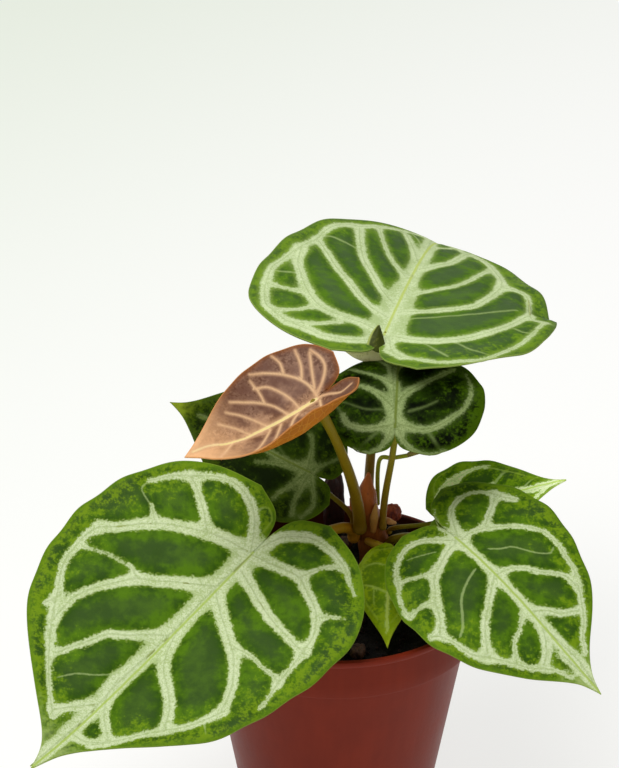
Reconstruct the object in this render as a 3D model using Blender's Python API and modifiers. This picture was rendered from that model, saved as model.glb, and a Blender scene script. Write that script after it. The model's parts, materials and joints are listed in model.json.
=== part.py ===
"""A young anthurium with silver-veined heart-shaped leaves, in a round plastic nursery pot.

Metres, +Z up. The origin is the centre of the pot's underside, and -Y is the front.
"""
import math

import bmesh
import bpy
import numpy as np
from mathutils import Matrix, Vector

# Pot: a 12 cm nursery pot.
POT_HEIGHT = 0.105
RIM_RADIUS = 0.0600
BAND_HEIGHT = 0.018
BAND_FOOT_RADIUS = 0.0598
WALL_TOP_RADIUS = 0.0545
BASE_RADIUS = 0.0396
POT_WALL = 0.0016
POT_FLOOR = 0.0025
LIP_HEIGHT = 0.0028
LIP_PROUD = 0.0009
DRAIN_HOLES = 6
DRAIN_HOLE_RADIUS = 0.0045
DRAIN_RING_RADIUS = 0.026
POT_BEVEL = 0.0010
ROUND_SEGMENTS = 48

# Soil: nearly level, with a lump of it behind the stem.
SOIL_EDGE_HEIGHT = 0.0945
SOIL_RISE = 0.0055
LUMP_CENTRE = (0.0205, 0.0390, 0.0965)
LUMP_RADII = (0.0125, 0.0105, 0.0130)
SOIL_RINGS = 5
STEM_HOLE_HEIGHT = 0.040

# The gap left between pieces that would touch.
CLEAR = 0.0003

# Stem: short and thick, from its hole in the soil to the crown.
STEM_POINTS = (
    Vector((0.0158, 0.0240, 0.0760)),
    Vector((0.0158, 0.0240, 0.0880)),
    Vector((0.0157, 0.0235, 0.1020)),
    Vector((0.0145, 0.0205, 0.1160)),
    Vector((0.0128, 0.0175, 0.1280)),
    Vector((0.0122, 0.0165, 0.1370)),
    Vector((0.0130, 0.0168, 0.1460)),
)
STEM_RADII = (0.0060, 0.0060, 0.0062, 0.0060, 0.0046, 0.0040, 0.0006)

# Leaf blades. A half blade's widths are taken at these places along the midrib, as shares of its
# length in front of the stalk and as shares of the lobe's length behind it.
STATIONS = (-1.0, -0.72, 0.0, 0.2, 0.4, 0.6, 0.78, 0.9)
BLADE_THICKNESS = 0.0008

# The notch between the two lobes: places behind the stalk as shares of the lobe's length, and how
# far each is from the midrib, as shares of the half's width at the lobe's end.
NOTCH = ((-1.0, 1.0), (-0.8, 0.28), (-0.45, 0.03), (0.0, 0.0))
# The share of a half's rows that lie behind the stalk.
ROWS_BEHIND = 0.3
# The midrib is added up in this many short steps, over a stretch a little longer than the blade.
MIDRIB_STEPS = 400

# Each blade: where its stalk meets it, heading and pitch and roll in degrees, lengths in metres,
# droop as the midrib's curvature (1/m), tip_turn in radians, fold as the slope of each half up
# from the midrib, curl as each half's downward curvature (1/m). "left" is seen from above,
# looking along the midrib to the tip.
LEAVES = {
    "leaf_top": {
        "at": (0.0189, 0.0338, 0.2006), "turn": (76.8, 0.8, 2.7), "length": 0.137,
        "lobes": (0.15, 0.20), "droop": 0.96, "tip_turn": 0.56, "fold": 0.12,
        "curl": (-0.3, 2.7), "twist": 0.24, "wave": (0.0010, 5, 0.4), "cells": (20, 8),
        "left": (0.0175, 0.0385, 0.0575, 0.0595, 0.0545, 0.0435, 0.0215, 0.006),
        "right": (0.019, 0.0385, 0.0590, 0.0662, 0.0610, 0.0455, 0.0235, 0.006),
    },
    "leaf_copper": {
        "at": (-0.0079, -0.0213, 0.2017), "turn": (206.0, -28.0, -17.0), "length": 0.061,
        "lobes": (0.28, 0.27), "droop": -13.5, "tip_turn": 0.28, "fold": 0.23,
        "curl": (-33.0, -4.0), "twist": -0.2, "wave": (0.0004, 4, 1.0), "cells": (12, 8),
        "left": (0.009, 0.0205, 0.028, 0.032, 0.030, 0.025, 0.010, 0.003),
        "right": (0.0105, 0.0203, 0.0255, 0.0264, 0.0237, 0.0183, 0.0096, 0.004),
    },
    "leaf_back_left": {
        "at": (-0.0114, 0.0082, 0.1514), "turn": (167.0, 24.0, -34.0), "length": 0.063,
        "lobes": (0.21, 0.205), "droop": 0.5, "tip_turn": 0.0, "fold": 0.10,
        "curl": (2.8, 2.7), "twist": 0.0, "wave": (0.0007, 4, 2.0), "cells": (12, 6),
        "left": (0.009, 0.019, 0.0254, 0.0287, 0.0268, 0.0203, 0.0088, 0.0026),
        "right": (0.008, 0.0187, 0.0268, 0.0295, 0.0271, 0.0225, 0.0102, 0.003),
    },
    "leaf_front_left": {
        "at": (-0.0335, -0.0318, 0.1376), "turn": (223.6, -25.0, -19.0), "length": 0.125,
        "lobes": (0.218, 0.188), "droop": -0.4, "tip_turn": -0.3, "fold": 0.25,
        "curl": (4.8, 2.7), "twist": 0.09, "wave": (0.0010, 6, 0.0), "cells": (20, 8),
        "left": (0.0176, 0.0399, 0.0574, 0.0594, 0.0544, 0.0450, 0.0202, 0.0050),
        "right": (0.0163, 0.0382, 0.0547, 0.0632, 0.0622, 0.0515, 0.0255, 0.0062),
    },
    "leaf_back_middle": {
        "at": (0.0225, -0.0085, 0.1814), "turn": (86.0, 39.0, 0.0), "length": 0.050,
        "lobes": (0.232, 0.224), "droop": 18.0, "tip_turn": 0.0, "fold": 0.01,
        "curl": (4.2, 3.6), "twist": -0.09, "wave": (0.0008, 4, 0.7), "cells": (12, 6),
        "left": (0.0095, 0.0200, 0.0295, 0.0328, 0.0315, 0.0230, 0.0110, 0.0035),
        "right": (0.0140, 0.0245, 0.0325, 0.0352, 0.0350, 0.0285, 0.0160, 0.0055),
    },
    "leaf_front_right": {
        "at": (0.0471, -0.0200, 0.1374), "turn": (309.5, -11.0, 15.0), "length": 0.087,
        "lobes": (0.29, 0.19), "droop": 7.0, "tip_turn": -0.33, "fold": 0.0,
        "curl": (2.2, 4.2), "twist": -0.12, "wave": (0.0008, 5, 1.5), "cells": (14, 7),
        "left": (0.0136, 0.0269, 0.0377, 0.0395, 0.0352, 0.0276, 0.0111, 0.0029),
        "right": (0.0145, 0.0270, 0.0366, 0.0413, 0.0395, 0.0318, 0.0175, 0.0045),
    },
    "leaf_back_right": {
        "at": (0.0455, 0.0120, 0.1299), "turn": (9.0, 19.0, 8.0), "length": 0.0507,
        "lobes": (0.155, 0.19), "droop": 6.0, "tip_turn": -0.2, "fold": 0.16,
        "curl": (1.2, 2.9), "twist": 0.0, "wave": (0.0005, 4, 0.0), "cells": (10, 5),
        "left": (0.0064, 0.0147, 0.0224, 0.0244, 0.0226, 0.0158, 0.0057, 0.0016),
        "right": (0.0067, 0.0145, 0.0213, 0.0226, 0.0213, 0.0148, 0.0064, 0.0020),
    },
    "leaf_small_front": {
        "at": (0.0227, -0.0060, 0.1203), "turn": (262.0, -12.0, 15.0), "length": 0.0447,
        "lobes": (0.20, 0.20), "droop": 7.6, "tip_turn": 0.28, "fold": 0.05,
        "curl": (2.9, 3.2), "twist": 0.0, "wave": (0.0005, 4, 0.5), "cells": (10, 5),
        "left": (0.0045, 0.0098, 0.0141, 0.0150, 0.0140, 0.0102, 0.0048, 0.0014),
        "right": (0.0045, 0.0098, 0.0141, 0.0150, 0.0140, 0.0102, 0.0048, 0.0014),
    },
}

# Leaf stalks: where each leaves the stem (degrees round it, from +X, and height), how far it
# sets off upward, the way it comes back down from its blade, and its radii at the two ends.
STALKS = {
    "leaf_top": {"angle": 92, "height": 0.1240, "rise": 0.030, "back": (-0.002, 0.003, -0.030),
                 "radii": (0.0021, 0.0015)},
    "leaf_copper": {"angle": 240, "height": 0.1230, "rise": 0.012, "back": (0.0130, -0.0010, -0.0240),
                    "radii": (0.0027, 0.0018), "closer": 0.0008},
    "leaf_back_left": {"angle": 186, "height": 0.1220, "rise": 0.006, "back": (0.008, 0.0, -0.010),
                       "radii": (0.0012, 0.0009)},
    "leaf_front_left": {"angle": 212, "height": 0.1160, "rise": 0.012, "back": (0.022, 0.022, -0.006),
                        "radii": (0.0024, 0.0018)},
    "leaf_back_middle": {"angle": 318, "height": 0.1220, "rise": 0.020, "back": (0.0, 0.004, -0.020),
                         "radii": (0.0015, 0.0013)},
    "leaf_front_right": {"angle": 325, "height": 0.1115, "rise": 0.006, "back": (-0.012, 0.014, -0.004),
                         "radii": (0.0019, 0.0014)},
    "leaf_back_right": {"angle": 10, "height": 0.1150, "rise": 0.004, "back": (-0.010, 0.0, -0.007),
                        "radii": (0.0011, 0.0008)},
    "leaf_small_front": {"angle": 290, "height": 0.1055, "rise": 0.001, "back": (0.0, 0.010, -0.007),
                         "radii": (0.0011, 0.0008)},
}

STALK_POINTS = 7
# How far under its blade a stalk ends, as a multiple of the clearance.
STALK_GAP = 1.5

# Short growths on the stem: the angle and height where each starts, the way it goes, its radii.
GROWTHS = {
    "sheath_right": {"angle": 280, "height": 0.1215, "way": (0.0010, -0.0010, 0.0130),
                     "radii": (0.0013, 0.0018, 0.0004)},
    "sheath_left": {"angle": 150, "height": 0.1180, "way": (-0.0025, 0.0, 0.0120),
                    "radii": (0.0010, 0.0014, 0.0003)},
    "root_front": {"angle": 258, "height": 0.1160, "way": (0.0080, -0.0025, -0.0012),
                   "radii": (0.0015, 0.0018, 0.0008)},
    "root_right": {"angle": 347, "height": 0.1240, "way": (0.0042, -0.0010, -0.0012),
                   "radii": (0.0012, 0.0014, 0.0007)},
}
# How far a growth bows to one side, as a share of its length.
GROWTH_BOW = 0.12

# Flower stalk, and the slender spike at its end, hidden behind a leaf.
FLOWER_STALK_ANGLE = 42
FLOWER_STALK_HEIGHT = 0.1290
FLOWER_STALK_RADIUS = 0.0009
FLOWER_STALK_WAY = (
    Vector((0.0168, 0.0215, 0.1440)),
    Vector((0.0180, 0.0195, 0.1515)),
    Vector((0.0225, 0.0170, 0.1530)),
    Vector((0.0285, 0.0145, 0.1555)),
)
SPIKE_WAY = Vector((0.0120, -0.0010, 0.0075))
SPIKE_RADII = (0.0010, 0.0017, 0.0016, 0.0006)

# Bark: where each piece lies, its half sizes, its turn about Z in degrees, and its lean.
BARK = {
    "bark_upright": {"place": (-0.0010, 0.0470), "size": (0.0042, 0.0030, 0.0165), "turn": 12, "lean": 6},
    "bark_red": {"place": (0.0235, 0.0400), "size": (0.0040, 0.0036, 0.0040), "turn": 30, "lean": 0},
    "bark_left": {"place": (0.0035, 0.0330), "size": (0.0052, 0.0036, 0.0032), "turn": 65, "lean": 8},
    "bark_front": {"place": (-0.0060, -0.0120), "size": (0.0060, 0.0040, 0.0030), "turn": 20, "lean": 0},
    "bark_right": {"place": (0.0330, 0.0080), "size": (0.0050, 0.0038, 0.0030), "turn": 110, "lean": 5},
    "bark_back": {"place": (-0.0220, 0.0300), "size": (0.0065, 0.0045, 0.0035), "turn": 150, "lean": 0},
    "bark_rim": {"place": (0.0080, -0.0440), "size": (0.0040, 0.0032, 0.0024), "turn": 80, "lean": 0},
}
BARK_ROUGHNESS = 0.12


def clear_scene():
    for obj in list(bpy.data.objects):
        bpy.data.objects.remove(obj, do_unlink=True)


def new_collection(name):
    collection = bpy.data.collections.new(name)
    bpy.context.scene.collection.children.link(collection)
    return collection


def material(name, colour, roughness):
    made = bpy.data.materials.new(name)
    made.use_nodes = True
    shader = made.node_tree.nodes["Principled BSDF"]
    shader.inputs["Base Color"].default_value = (*colour, 1.0)
    shader.inputs["Roughness"].default_value = roughness
    shader.inputs["Metallic"].default_value = 0.0
    return made


def add_object(name, data, look, collection):
    obj = bpy.data.objects.new(name, data)
    data.materials.append(look)
    collection.objects.link(obj)
    return obj


def smooth_chain(points, count):
    """A smooth curve through the points, read at evenly spread places."""
    points = np.asarray(points, float)
    ends = np.vstack([2 * points[0] - points[1], points, 2 * points[-1] - points[-2]])
    place = np.linspace(0, len(points) - 1, count)
    first = np.minimum(place.astype(int), len(points) - 2)
    t = (place - first)[:, None]
    a, b, c, d = (ends[first + step] for step in range(4))
    bend_in = 2 * a - 5 * b + 4 * c - d
    bend_out = 3 * b - a - 3 * c + d
    return 0.5 * (2 * b + (c - a) * t + bend_in * t**2 + bend_out * t**3)


def turned(name, profile, look, collection):
    """An outline in the XZ plane that starts and ends on the axis, turned about Z."""
    mesh = bpy.data.meshes.new(name)
    edges = [(i, i + 1) for i in range(len(profile) - 1)]
    mesh.from_pydata([(radius, 0, height) for radius, height in profile], edges, [])
    obj = add_object(name, mesh, look, collection)
    screw = obj.modifiers.new("Turn", "SCREW")
    screw.steps = screw.render_steps = ROUND_SEGMENTS
    screw.use_merge_vertices = True
    screw.merge_threshold = 0.00001
    return obj


def cut(obj, cutter):
    boolean = obj.modifiers.new("Cut " + cutter.name, "BOOLEAN")
    boolean.operation = "DIFFERENCE"
    boolean.object = cutter


def add_helper(name, shape, place, collection):
    """An object that only shapes another one, and isn't shown."""
    mesh = bpy.data.meshes.new(name)
    shape.to_mesh(mesh)
    shape.free()
    obj = bpy.data.objects.new(name, mesh)
    obj.location = place
    obj.hide_render = True
    obj.display_type = "WIRE"
    collection.objects.link(obj)
    return obj


def cylinder_helper(name, place, radius, height, segments, collection):
    shape = bmesh.new()
    bmesh.ops.create_cone(shape, cap_ends=True, segments=segments, radius1=radius,
                          radius2=radius, depth=height)
    return add_helper(name, shape, place, collection)


def ellipsoid_helper(name, centre, radii, collection):
    shape = bmesh.new()
    bmesh.ops.create_icosphere(shape, subdivisions=2, radius=1.0)
    bmesh.ops.scale(shape, vec=radii, verts=shape.verts)
    return add_helper(name, shape, centre, collection)


def wall_radius(height):
    """Outer radius of the pot's wall below its band."""
    band_foot = POT_HEIGHT - BAND_HEIGHT
    return BASE_RADIUS + (WALL_TOP_RADIUS - BASE_RADIUS) * height / band_foot


def inner_radius(height):
    """Inner radius of the pot: the wall, and the wider band above it."""
    band_foot = POT_HEIGHT - BAND_HEIGHT
    if height < band_foot + POT_WALL:
        return wall_radius(min(height, band_foot)) - POT_WALL
    return RIM_RADIUS - POT_WALL


def build_pot(look, parts, cutters):
    band_foot = POT_HEIGHT - BAND_HEIGHT
    lip_foot = POT_HEIGHT - LIP_HEIGHT
    lip_radius = RIM_RADIUS + LIP_PROUD
    inside = [
        (0.0, POT_FLOOR),
        (inner_radius(POT_FLOOR) - POT_BEVEL, POT_FLOOR),
        (inner_radius(POT_FLOOR + POT_BEVEL), POT_FLOOR + POT_BEVEL),
        (wall_radius(band_foot) - POT_WALL, band_foot),
        (RIM_RADIUS - POT_WALL, band_foot + POT_WALL * 2),
        (RIM_RADIUS - POT_WALL, POT_HEIGHT - POT_BEVEL / 2),
    ]
    lip = [
        (RIM_RADIUS - POT_WALL + POT_BEVEL / 2, POT_HEIGHT),
        (lip_radius - POT_BEVEL, POT_HEIGHT),
        (lip_radius, POT_HEIGHT - POT_BEVEL),
        (lip_radius - POT_BEVEL / 3, lip_foot),
        (RIM_RADIUS - POT_BEVEL / 3, lip_foot - POT_BEVEL / 2),
    ]
    outside = [
        (BAND_FOOT_RADIUS, band_foot + POT_BEVEL / 2),
        (BAND_FOOT_RADIUS - POT_BEVEL, band_foot),
        (WALL_TOP_RADIUS, band_foot),
        (BASE_RADIUS, POT_BEVEL),
        (BASE_RADIUS - POT_BEVEL, 0.0),
        (0.0, 0.0),
    ]
    pot = turned("pot", inside + lip + outside, look, parts)
    for number in range(DRAIN_HOLES):
        angle = 2 * math.pi * (number + 0.5) / DRAIN_HOLES
        place = Vector((math.cos(angle), math.sin(angle), 0)) * DRAIN_RING_RADIUS
        cut(pot, cylinder_helper(f"drain_cutter_{number + 1}", place, DRAIN_HOLE_RADIUS,
                                 4 * POT_FLOOR, 12, cutters))


def soil_height(x, y):
    """The soil's top: highest in the middle, and falling away to the wall."""
    spread = math.hypot(x, y) / (RIM_RADIUS - POT_WALL)
    return SOIL_EDGE_HEIGHT + SOIL_RISE * max(0.0, 1 - spread**2)


def lump_height(x, y):
    """The top of the soil's lump, or nothing beside it."""
    across, along = (x - LUMP_CENTRE[0]) / LUMP_RADII[0], (y - LUMP_CENTRE[1]) / LUMP_RADII[1]
    inside = 1 - across**2 - along**2
    return LUMP_CENTRE[2] + LUMP_RADII[2] * math.sqrt(inside) if inside > 0 else 0.0


def build_soil(look, parts, cutters):
    top_radius = inner_radius(SOIL_EDGE_HEIGHT) - CLEAR
    profile = [(0.0, soil_height(0, 0))]
    for ring in range(1, SOIL_RINGS + 1):
        radius = top_radius * ring / SOIL_RINGS
        profile.append((radius, soil_height(radius, 0)))
    band_foot = POT_HEIGHT - BAND_HEIGHT
    profile += [
        (top_radius, band_foot + POT_WALL * 2 + CLEAR),
        (wall_radius(band_foot) - POT_WALL - CLEAR, band_foot),
        (inner_radius(POT_FLOOR + POT_BEVEL) - CLEAR, POT_FLOOR + POT_BEVEL + CLEAR),
        (inner_radius(POT_FLOOR) - POT_BEVEL - CLEAR, POT_FLOOR + CLEAR),
        (0.0, POT_FLOOR + CLEAR),
    ]
    soil = turned("soil", profile, look, parts)
    join = soil.modifiers.new("Lump", "BOOLEAN")
    join.operation = "UNION"
    join.object = ellipsoid_helper("soil_lump", LUMP_CENTRE, LUMP_RADII, cutters)
    place = STEM_POINTS[0] + Vector((0, 0, STEM_HOLE_HEIGHT / 2 - CLEAR))
    cut(soil, cylinder_helper("stem_cutter", place, max(STEM_RADII) + 2 * CLEAR,
                              STEM_HOLE_HEIGHT, 20, cutters))


def tube(name, points, radii, look, collection, sides=2):
    """A round tube along a smooth curve through the points, its radius going through the radii."""
    count = len(points) * 2
    path = smooth_chain(points, count)
    share = np.linspace(0, 1, count)
    radius = np.interp(share, np.linspace(0, 1, len(radii)), radii)
    curve = bpy.data.curves.new(name, "CURVE")
    curve.dimensions = "3D"
    curve.bevel_depth = 1.0
    curve.bevel_resolution = sides
    curve.use_fill_caps = True
    spline = curve.splines.new("POLY")
    spline.points.add(count - 1)
    for point, place, size in zip(spline.points, path, radius):
        point.co = (*place, 1.0)
        point.radius = size
    add_object(name, curve, look, collection)


def stem_at(height):
    """The stem's centre and radius at this height."""
    heights = [point.z for point in STEM_POINTS]
    x = np.interp(height, heights, [point.x for point in STEM_POINTS])
    y = np.interp(height, heights, [point.y for point in STEM_POINTS])
    return Vector((x, y, height)), float(np.interp(height, heights, STEM_RADII))


def beside_stem(angle, height, radius):
    """A point beside the stem, for a tube of this radius that just clears it."""
    centre, stem_radius = stem_at(height)
    turn = math.radians(angle)
    return centre + Vector((math.cos(turn), math.sin(turn), 0)) * (stem_radius + radius + CLEAR)


def leaf_axes(leaf):
    """The blade's own axes in the world: along the midrib, across to the left, and up from it."""
    heading, pitch, roll = (math.radians(angle) for angle in leaf["turn"])
    along = Vector((math.cos(heading) * math.cos(pitch), math.sin(heading) * math.cos(pitch),
                    math.sin(pitch)))
    level = Vector((-math.sin(heading), math.cos(heading), 0))
    up = along.cross(level)
    across = level * math.cos(roll) + up * math.sin(roll)
    return along, across, along.cross(across)


def half_outline(leaf, side, count):
    """Inner and outer edges of one half, flat: from the lobe's end to the tip."""
    length = leaf["length"]
    lobe = leaf["lobes"][side] * length
    widths = leaf["left"] if side == 0 else leaf["right"]
    places = [s * lobe if s < 0 else s * length for s in STATIONS]
    outer = smooth_chain(list(zip(places, widths)) + [(length, 0.0)], count + 1)
    back = round(count * ROWS_BEHIND)
    notch = [(place * lobe, share * widths[0]) for place, share in NOTCH]
    inner_back = smooth_chain(notch, back + 1)
    share = np.linspace(0, 1, count - back + 1)[1:]
    inner_front = np.stack([length * share, 0 * share], 1)
    return np.vstack([inner_back, inner_front]), outer


def bend(flat, leaf):
    """Sets flat points on the bent blade. The waves grow with the distance from the midrib."""
    length = leaf["length"]
    x, y = flat[..., 0], flat[..., 1]
    s = np.linspace(-0.5 * length, 1.1 * length, MIDRIB_STEPS)
    slope = -(leaf["droop"] * s + leaf["tip_turn"] * np.clip(s / length, 0, 2) ** 4)
    step = s[1] - s[0]
    run = np.cumsum(np.cos(slope)) * step
    rise = np.cumsum(np.sin(slope)) * step
    mid_x = np.interp(x, s, run) - np.interp(0, s, run)
    mid_z = np.interp(x, s, rise) - np.interp(0, s, rise)
    tilt = np.interp(x, s, slope)
    curl = np.where(y >= 0, *leaf["curl"])
    start = math.atan(leaf["fold"])
    turned_by = curl * np.abs(y) - start
    across = (np.sin(turned_by) + math.sin(start)) / curl * np.sign(y)
    height = (np.cos(turned_by) - math.cos(start)) / curl
    size, waves, phase = leaf["wave"]
    spread = (np.abs(y) / max(leaf["left"] + leaf["right"])) ** 2
    height = height + size * spread * np.sin(2 * math.pi * waves * x / length + phase + 2 * np.sign(y))
    twist = leaf["twist"] * x / length
    turned_across = across * np.cos(twist) - height * np.sin(twist)
    turned_height = height * np.cos(twist) + across * np.sin(twist)
    return np.stack([mid_x - np.sin(tilt) * turned_height, turned_across,
                     mid_z + np.cos(tilt) * turned_height], -1)


def build_leaf(name, leaf, look, collection):
    """A heart-shaped blade: a grid over each half, welded along the midrib, then given thickness."""
    rows, columns = leaf["cells"]
    points, faces = [], []
    for side in (0, 1):
        inner, outer = half_outline(leaf, side, rows)
        share = np.linspace(0, 1, columns + 1)[None, :, None]
        flat = inner[:, None] * (1 - share) + outer[:, None] * share
        flat[..., 1] *= 1 - 2 * side
        first = len(points)
        points += bend(flat, leaf).reshape(-1, 3).tolist()
        for row in range(rows):
            for column in range(columns):
                a = first + row * (columns + 1) + column
                quad = (a, a + columns + 1, a + columns + 2, a + 1)
                faces.append(quad if side == 0 else quad[::-1])
    mesh = bpy.data.meshes.new(name)
    mesh.from_pydata(points, [], faces)
    shape = bmesh.new()
    shape.from_mesh(mesh)
    bmesh.ops.remove_doubles(shape, verts=shape.verts, dist=0.00002)
    bmesh.ops.triangulate(shape, faces=shape.faces)
    shape.to_mesh(mesh)
    shape.free()
    obj = add_object(name, mesh, look, collection)
    along, across, up = leaf_axes(leaf)
    rows_of_matrix = [(along[i], across[i], up[i], leaf["at"][i]) for i in range(3)]
    obj.matrix_world = Matrix(rows_of_matrix).to_4x4()
    solid = obj.modifiers.new("Thickness", "SOLIDIFY")
    solid.thickness = BLADE_THICKNESS
    solid.offset = -1.0


def build_stalk(name, leaf, stalk, look, collection):
    """A leaf stalk from beside the stem to just under its blade."""
    foot_radius, end_radius = stalk["radii"]
    foot = beside_stem(stalk["angle"], stalk["height"], foot_radius)
    along, across, up = leaf_axes(leaf)
    back = Vector(stalk["back"])
    lean = back.normalized().cross(up).length
    depth = BLADE_THICKNESS + STALK_GAP * CLEAR + lean * end_radius - stalk.get("closer", 0)
    end = Vector(leaf["at"]) - up * depth + along * end_radius
    first = foot + Vector((0, 0, stalk["rise"]))
    last = end + back
    points = []
    for t in np.linspace(0, 1, STALK_POINTS):
        points.append(foot * (1 - t) ** 3 + first * 3 * t * (1 - t) ** 2
                      + last * 3 * t * t * (1 - t) + end * t**3)
    tube(name, points, (foot_radius, end_radius), look, collection)


def build_growth(name, growth, look, collection):
    """A sheath or an aerial root: a short tapered horn that starts beside the stem."""
    foot = beside_stem(growth["angle"], growth["height"], growth["radii"][0])
    way = Vector(growth["way"])
    bow = Vector((way.y, -way.x, 0)) * GROWTH_BOW
    tube(name, (foot, foot + way * 0.5 + bow, foot + way), growth["radii"], look, collection)


def build_flower_stalk(look, spike_look, collection):
    foot = beside_stem(FLOWER_STALK_ANGLE, FLOWER_STALK_HEIGHT, FLOWER_STALK_RADIUS)
    tube("flower_stalk", (foot, *FLOWER_STALK_WAY), (FLOWER_STALK_RADIUS,) * 2, look, collection)
    start = FLOWER_STALK_WAY[-1] + SPIKE_WAY.normalized() * 2 * CLEAR
    points = (start, start + SPIKE_WAY / 2, start + SPIKE_WAY)
    tube("flower_spike", points, SPIKE_RADII, spike_look, collection)


def build_bark(name, bark, seed, look, collection):
    """A rough chip, lowered until its lowest corner just clears the soil."""
    rough = np.random.default_rng(seed)
    mesh = bpy.data.meshes.new(name)
    shape = bmesh.new()
    bmesh.ops.create_icosphere(shape, subdivisions=1, radius=1.0)
    for vert in shape.verts:
        vert.co *= 1 + BARK_ROUGHNESS * rough.uniform(-1, 1)
        boxy = max(abs(value) for value in vert.co) ** 0.5
        vert.co /= boxy
        vert.co = Vector(value * half for value, half in zip(vert.co, bark["size"]))
    lean = Matrix.Rotation(math.radians(bark["lean"]), 3, "Y")
    turn = Matrix.Rotation(math.radians(bark["turn"]), 3, "Z")
    bmesh.ops.rotate(shape, matrix=turn @ lean, verts=shape.verts)
    x, y = bark["place"]
    room = []
    for vert in shape.verts:
        under = (vert.co.x + x, vert.co.y + y)
        room.append(vert.co.z - max(soil_height(*under), lump_height(*under)))
    shape.to_mesh(mesh)
    shape.free()
    obj = add_object(name, mesh, look, collection)
    obj.location = (x, y, CLEAR - min(room))


def main():
    clear_scene()
    parts = new_collection("potted_anthurium")
    cutters = new_collection("cutters")
    terracotta = material("terracotta_plastic", (0.30, 0.065, 0.035), 0.45)
    earth = material("potting_soil", (0.018, 0.012, 0.009), 0.95)
    blade_green = material("leaf_green", (0.06, 0.16, 0.03), 0.5)
    copper = material("leaf_copper", (0.33, 0.15, 0.09), 0.45)
    stalk_green = material("stalk_green", (0.14, 0.17, 0.03), 0.5)
    bark = material("stem_brown", (0.22, 0.10, 0.04), 0.7)
    spike_tan = material("spike_tan", (0.35, 0.28, 0.10), 0.6)
    bark_dark = material("bark_dark", (0.07, 0.025, 0.015), 0.6)
    build_pot(terracotta, parts, cutters)
    build_soil(earth, parts, cutters)
    tube("stem", STEM_POINTS, STEM_RADII, bark, parts, 3)
    for name, leaf in LEAVES.items():
        build_leaf(name, leaf, copper if name == "leaf_copper" else blade_green, parts)
        build_stalk(name.replace("leaf", "stalk"), leaf, STALKS[name], stalk_green, parts)
    for name, growth in GROWTHS.items():
        build_growth(name, growth, bark, parts)
    build_flower_stalk(stalk_green, spike_tan, parts)
    for seed, (name, chip) in enumerate(BARK.items()):
        build_bark(name, chip, seed, bark_dark, parts)


main()
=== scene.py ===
import json
import math

import bmesh
import bpy
import numpy as np
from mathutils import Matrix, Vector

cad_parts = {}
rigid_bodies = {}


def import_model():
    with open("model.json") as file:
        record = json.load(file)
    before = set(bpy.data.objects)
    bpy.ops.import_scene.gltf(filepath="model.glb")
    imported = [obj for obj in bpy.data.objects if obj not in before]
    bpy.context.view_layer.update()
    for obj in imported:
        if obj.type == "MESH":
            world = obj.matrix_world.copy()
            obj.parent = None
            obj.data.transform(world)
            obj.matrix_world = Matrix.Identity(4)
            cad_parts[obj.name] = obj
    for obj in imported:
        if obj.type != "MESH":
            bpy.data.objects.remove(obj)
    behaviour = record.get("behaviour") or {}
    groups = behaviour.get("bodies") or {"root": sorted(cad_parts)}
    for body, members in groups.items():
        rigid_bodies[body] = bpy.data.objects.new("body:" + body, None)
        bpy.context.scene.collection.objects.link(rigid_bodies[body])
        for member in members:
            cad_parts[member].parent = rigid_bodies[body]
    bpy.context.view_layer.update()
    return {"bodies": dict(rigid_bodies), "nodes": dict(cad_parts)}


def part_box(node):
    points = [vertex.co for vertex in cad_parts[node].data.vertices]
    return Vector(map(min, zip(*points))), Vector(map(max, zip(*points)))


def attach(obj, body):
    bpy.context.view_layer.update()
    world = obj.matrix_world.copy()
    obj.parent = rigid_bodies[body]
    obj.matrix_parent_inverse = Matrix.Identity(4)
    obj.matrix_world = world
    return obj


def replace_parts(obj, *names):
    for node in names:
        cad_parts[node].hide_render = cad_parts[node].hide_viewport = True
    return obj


# A young anthurium in a terracotta-coloured nursery pot, dressed over its CAD frame.
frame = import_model()
body = "root" if "root" in frame["bodies"] else list(frame["bodies"])[0]
print("frame loaded:", len(frame["nodes"]), "nodes on body", body)


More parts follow.
